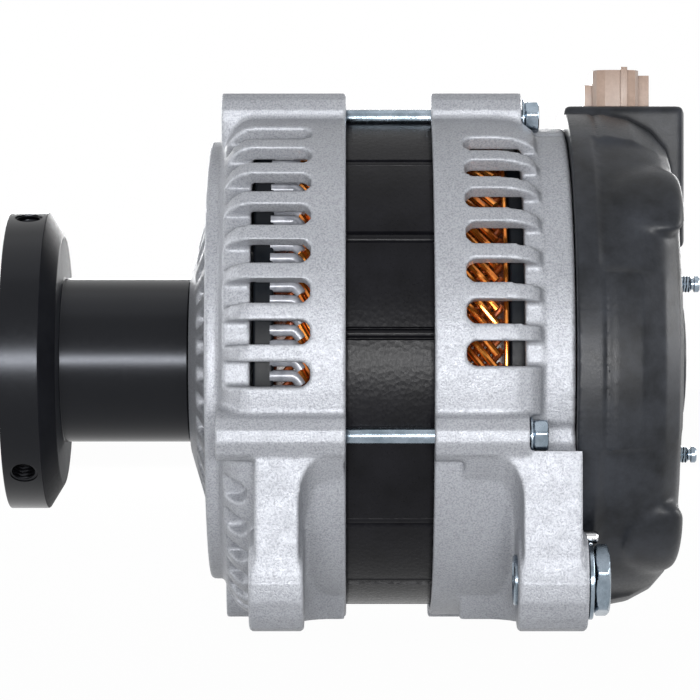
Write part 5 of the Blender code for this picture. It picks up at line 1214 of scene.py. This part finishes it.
def make_cover_studs():
    """The cover's studs and the nuts on them."""
    for number in (1, 2, 3):
        node = "cover_stud_" + str(number)
        low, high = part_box(node)
        neck = high.x - STUD_TIP_LENGTH
        plain_end = low.x + STUD_PLAIN_LENGTH
        rod = [(low.x, STUD_RADIUS), (plain_end, STUD_RADIUS)]
        rod += thread_stations(plain_end + 0.2 * MM, neck, *STUD_THREAD)
        rod += in_mm(neck, ((0.1, 1.6), (0.7, 1.6), (0.8, 2.1), (0.95, 2.3)))
        rod += in_mm(high.x, ((-0.4, 2.3), (0.0, 1.9)))
        rod_piece("stud_" + str(number), [(rod, box_centre(node))], ZINC, "stud", node)
        nut = "cover_nut_" + str(number)
        low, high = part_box(nut)
        stations = hexagon_stations(low.x, high.x, SMALL_FLATS, 0.0, 0.45 * MM)
        rod_piece("stud_nut_" + str(number), [(stations, box_centre(nut))], ZINC, "stud", nut)


def make_lug_bush():
    """The hexagon bush in the rear lug, its washer and its pin."""
    low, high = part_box("lug_bush")
    head = high.x - BUSH_HEAD_LENGTH
    hexagon = hexagon_stations(head, high.x, BUSH_FLATS, 13.7, 0.9 * MM)
    shank = in_mm(low.x, ((0.0, 6.4), (0.4, 6.9))) + [(head, SHANK_RADIUS)]
    bm = bmesh.new()
    shaped_ring(bm, shank + hexagon, BUSH_BORE_RADIUS, WASHER_STEPS, box_centre("lug_bush"))
    bush = put_in_scene("bush_and_shank", bm, ZINC, SHARP_FASTENER)
    hand_over(bush, "housing", "zinc", "lug_bush")
    low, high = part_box("bush_washer")
    edge = 0.2 * MM
    profile = [
        (low.x, WASHER_BORE_RADIUS),
        (low.x, 10.4 * MM),
        (low.x + edge, WASHER_RADIUS),
        (high.x - edge, WASHER_RADIUS),
        (high.x, 10.4 * MM),
        (high.x, WASHER_BORE_RADIUS),
    ]
    centre = box_centre("bush_washer")
    washer = turned_piece("bush_washer_ring", profile, WASHER_STEPS, ZINC, centre)
    low_pin, high_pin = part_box("bush_pin")
    bm = bmesh.new()
    stations = [(low.x - MM, 2.1 * MM), (high.x + MM, 2.1 * MM)]
    shaped_rod(bm, stations, HOLE_STEPS, box_centre("bush_pin"))
    cut_with(washer, put_in_scene("washer_notch", bm, ZINC), ZINC)
    hand_over(washer, "housing", "zinc", "bush_washer")
    tip = high_pin.x - 1.6 * MM
    rod = in_mm(low_pin.x, ((0.0, 1.4), (0.3, 1.68))) + in_mm(tip, ((-0.4, 1.68), (0.0, 1.3)))
    rod_piece("locking_pin", [(rod, box_centre("bush_pin"))], BRIGHT_STEEL, "steel", "bush_pin")


def swung(piece, place):
    """Turn a piece made along X so that it points along +Y from a place."""
    turn = Matrix.Translation(place) @ Matrix.Rotation(math.radians(90.0), 4, "Z")
    piece.data.transform(turn)
    return piece


def make_output_terminal():
    """The output stud on the far side, its nut and its insulator."""
    low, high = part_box("output_stud")
    place = Vector(((low.x + high.x) / 2.0, 0.0, (low.z + high.z) / 2.0))
    bm = bmesh.new()
    shaped_rod(bm, in_mm(low.y, ((0.0, 7.0), (0.3, 7.4), (1.9, 7.4))), TERMINAL_STEPS)
    rod = in_mm(low.y, ((1.5, 3.4), (9.0, 3.4)))
    rod += thread_stations(low.y + 9.2 * MM, high.y, *OUTPUT_THREAD)
    shaped_rod(bm, rod, TERMINAL_STEPS)
    stud = swung(put_in_scene("output_thread", bm, ZINC, SHARP_FASTENER), place)
    hand_over(stud, "housing", "zinc", "output_stud")
    low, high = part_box("output_nut")
    bm = bmesh.new()
    hexagon = hexagon_stations(low.y, high.y, OUTPUT_FLATS, 0.0, 0.7 * MM)
    shaped_rod(bm, hexagon, WASHER_STEPS)
    nut = swung(put_in_scene("output_hex_nut", bm, ZINC, SHARP_FASTENER), place)
    hand_over(nut, "housing", "zinc", "output_nut")
    low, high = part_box("output_insulator")
    profile = in_mm(low.y, ((0.0, 3.9), (0.0, 7.5), (2.0, 7.5), (2.0, 5.9)))
    profile += in_mm(high.y, ((-4.0, 5.9), (-4.0, 9.0), (0.0, 8.0), (0.0, 3.9)))
    profile = rounded_profile(profile, 0.5 * MM)
    collar = turned_piece("output_collar", profile, WASHER_STEPS, MOULDED_BLACK)
    hand_over(swung(collar, place), "housing", "moulding", "output_insulator")


# Connector

def make_connector():
    """The pale socket for the plug."""
    shell = eased_copy("connector_shell", "plug_socket", BEIGE, PLUG_EDGE)
    hand_over(shell, "housing", "connector", "connector_shell")


# Finishes of the CAD nodes that keep their shape

NODE_FINISHES = {
    ZINC: ["retainer_screw_1", "retainer_screw_2", "retainer_screw_3"],
    STEEL: ["rotor_shaft", "hub_spacer", "bearing_retainer", "shaft_nut"],
    DARK_STEEL: ["set_screw_1", "set_screw_2", "set_screw_3", "front_fan", "rear_fan"],
    BRIGHT_STEEL: [
        "front_bearing_outer", "front_bearing_inner", "front_bearing_cage",
        "rear_bearing_outer", "rear_bearing_inner", "rear_bearing_cage",
        "brush_spring_1", "brush_spring_2",
    ],
    POLE_STEEL: ["front_pole", "rear_pole"],
    COPPER: ["field_coil", "slip_ring_inner", "slip_ring_outer"],
    MOULDED_BLACK: ["slip_ring_carrier", "brush_holder", "regulator_body", "terminal_block"],
    CARBON: ["brush_1", "brush_2"],
    BRASS: ["connector_pin_1", "connector_pin_2", "connector_pin_3"],
    CAST: ["rectifier_plate"],
}


def finish_nodes():
    """Give the CAD nodes that keep their shape their finishes."""
    for material, nodes in NODE_FINISHES.items():
        for name in nodes:
            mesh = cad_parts[name].data
            mesh.materials.clear()
            mesh.materials.append(material)


# Stage

def light(name, size, energy, place):
    """An area lamp aimed at the middle of the photograph."""
    lamp = bpy.data.lights.new(name, "AREA")
    lamp.shape = "RECTANGLE"
    lamp.size, lamp.size_y = size
    lamp.energy = energy
    obj = bpy.data.objects.new(name, lamp)
    obj.location = place
    aim = Vector((PHOTO_CENTRE_X, 0.0, 0.0)) - Vector(place)
    obj.rotation_euler = aim.to_track_quat("-Z", "Y").to_euler()
    bpy.context.scene.collection.objects.link(obj)


def seen_directly(tree):
    """1 for a ray from the camera, a mirror or a glass."""
    rays = tree.nodes.new("ShaderNodeLightPath")
    seen = rays.outputs["Is Camera Ray"]
    for kind in ("Is Glossy Ray", "Is Transmission Ray"):
        seen = math_node(tree, "MAXIMUM", seen, rays.outputs[kind])
    return seen


def make_world():
    """A background that shows as white but hardly lights the object."""
    world = bpy.data.worlds.new("studio")
    bpy.context.scene.world = world
    world.use_nodes = True
    tree = world.node_tree
    backdrop = tree.nodes["Background"]
    backdrop.inputs["Color"].default_value = (1.0, 1.0, 1.0, 1.0)
    strength = tree.nodes.new("ShaderNodeMapRange")
    strength.inputs["To Min"].default_value = WORLD_GLOW
    strength.inputs["To Max"].default_value = 1.0
    tree.links.new(seen_directly(tree), strength.inputs["Value"])
    tree.links.new(strength.outputs["Result"], backdrop.inputs["Strength"])


def make_floor():
    """A pale floor that shows as white, with only a faint shadow."""
    bm = bmesh.new()
    bmesh.ops.create_grid(bm, x_segments=1, y_segments=1, size=FLOOR_HALF_SIDE)
    bmesh.ops.translate(bm, verts=bm.verts, vec=(0.0, 0.0, LOW.z - FLOOR_GAP))
    made, tree, shader = new_material("pale_floor")
    shader.inputs["Base Color"].default_value = (FLOOR_TONE, FLOOR_TONE, FLOOR_TONE, 1.0)
    shader.inputs["Roughness"].default_value = 0.9
    glow = tree.nodes.new("ShaderNodeEmission")
    glow.inputs["Strength"].default_value = 1.0
    share = math_node(tree, "MULTIPLY", seen_directly(tree), FLOOR_GLOW_SHARE)
    mix = tree.nodes.new("ShaderNodeMixShader")
    tree.links.new(share, mix.inputs["Fac"])
    tree.links.new(shader.outputs["BSDF"], mix.inputs[1])
    tree.links.new(glow.outputs["Emission"], mix.inputs[2])
    tree.links.new(mix.outputs["Shader"], tree.nodes["Material Output"].inputs["Surface"])
    floor = put_in_scene("floor", bm, made)


def make_camera():
    """The camera of the photograph."""
    lens = bpy.data.cameras.new("photo_camera")
    lens.lens = CAMERA_LENS
    lens.sensor_width = CAMERA_SENSOR
    lens.clip_start = CAMERA_CLIP
    camera = bpy.data.objects.new("photo_camera", lens)
    camera.location = (PHOTO_CENTRE_X, -CAMERA_DISTANCE, PHOTO_CENTRE_Z)
    camera.rotation_euler = (math.radians(90.0), 0.0, 0.0)
    bpy.context.scene.collection.objects.link(camera)
    bpy.context.scene.camera = camera


def make_stage():
    bpy.context.scene.view_settings.view_transform = "Standard"
    make_world()
    make_floor()
    make_camera()
    for lamp in LAMPS:
        light(*lamp)


make_stage()
finish_nodes()
make_hub()
make_stator()
make_winding()
make_castings()
make_cover()
make_through_bolts()
make_cover_studs()
make_lug_bush()
make_output_terminal()
make_connector()
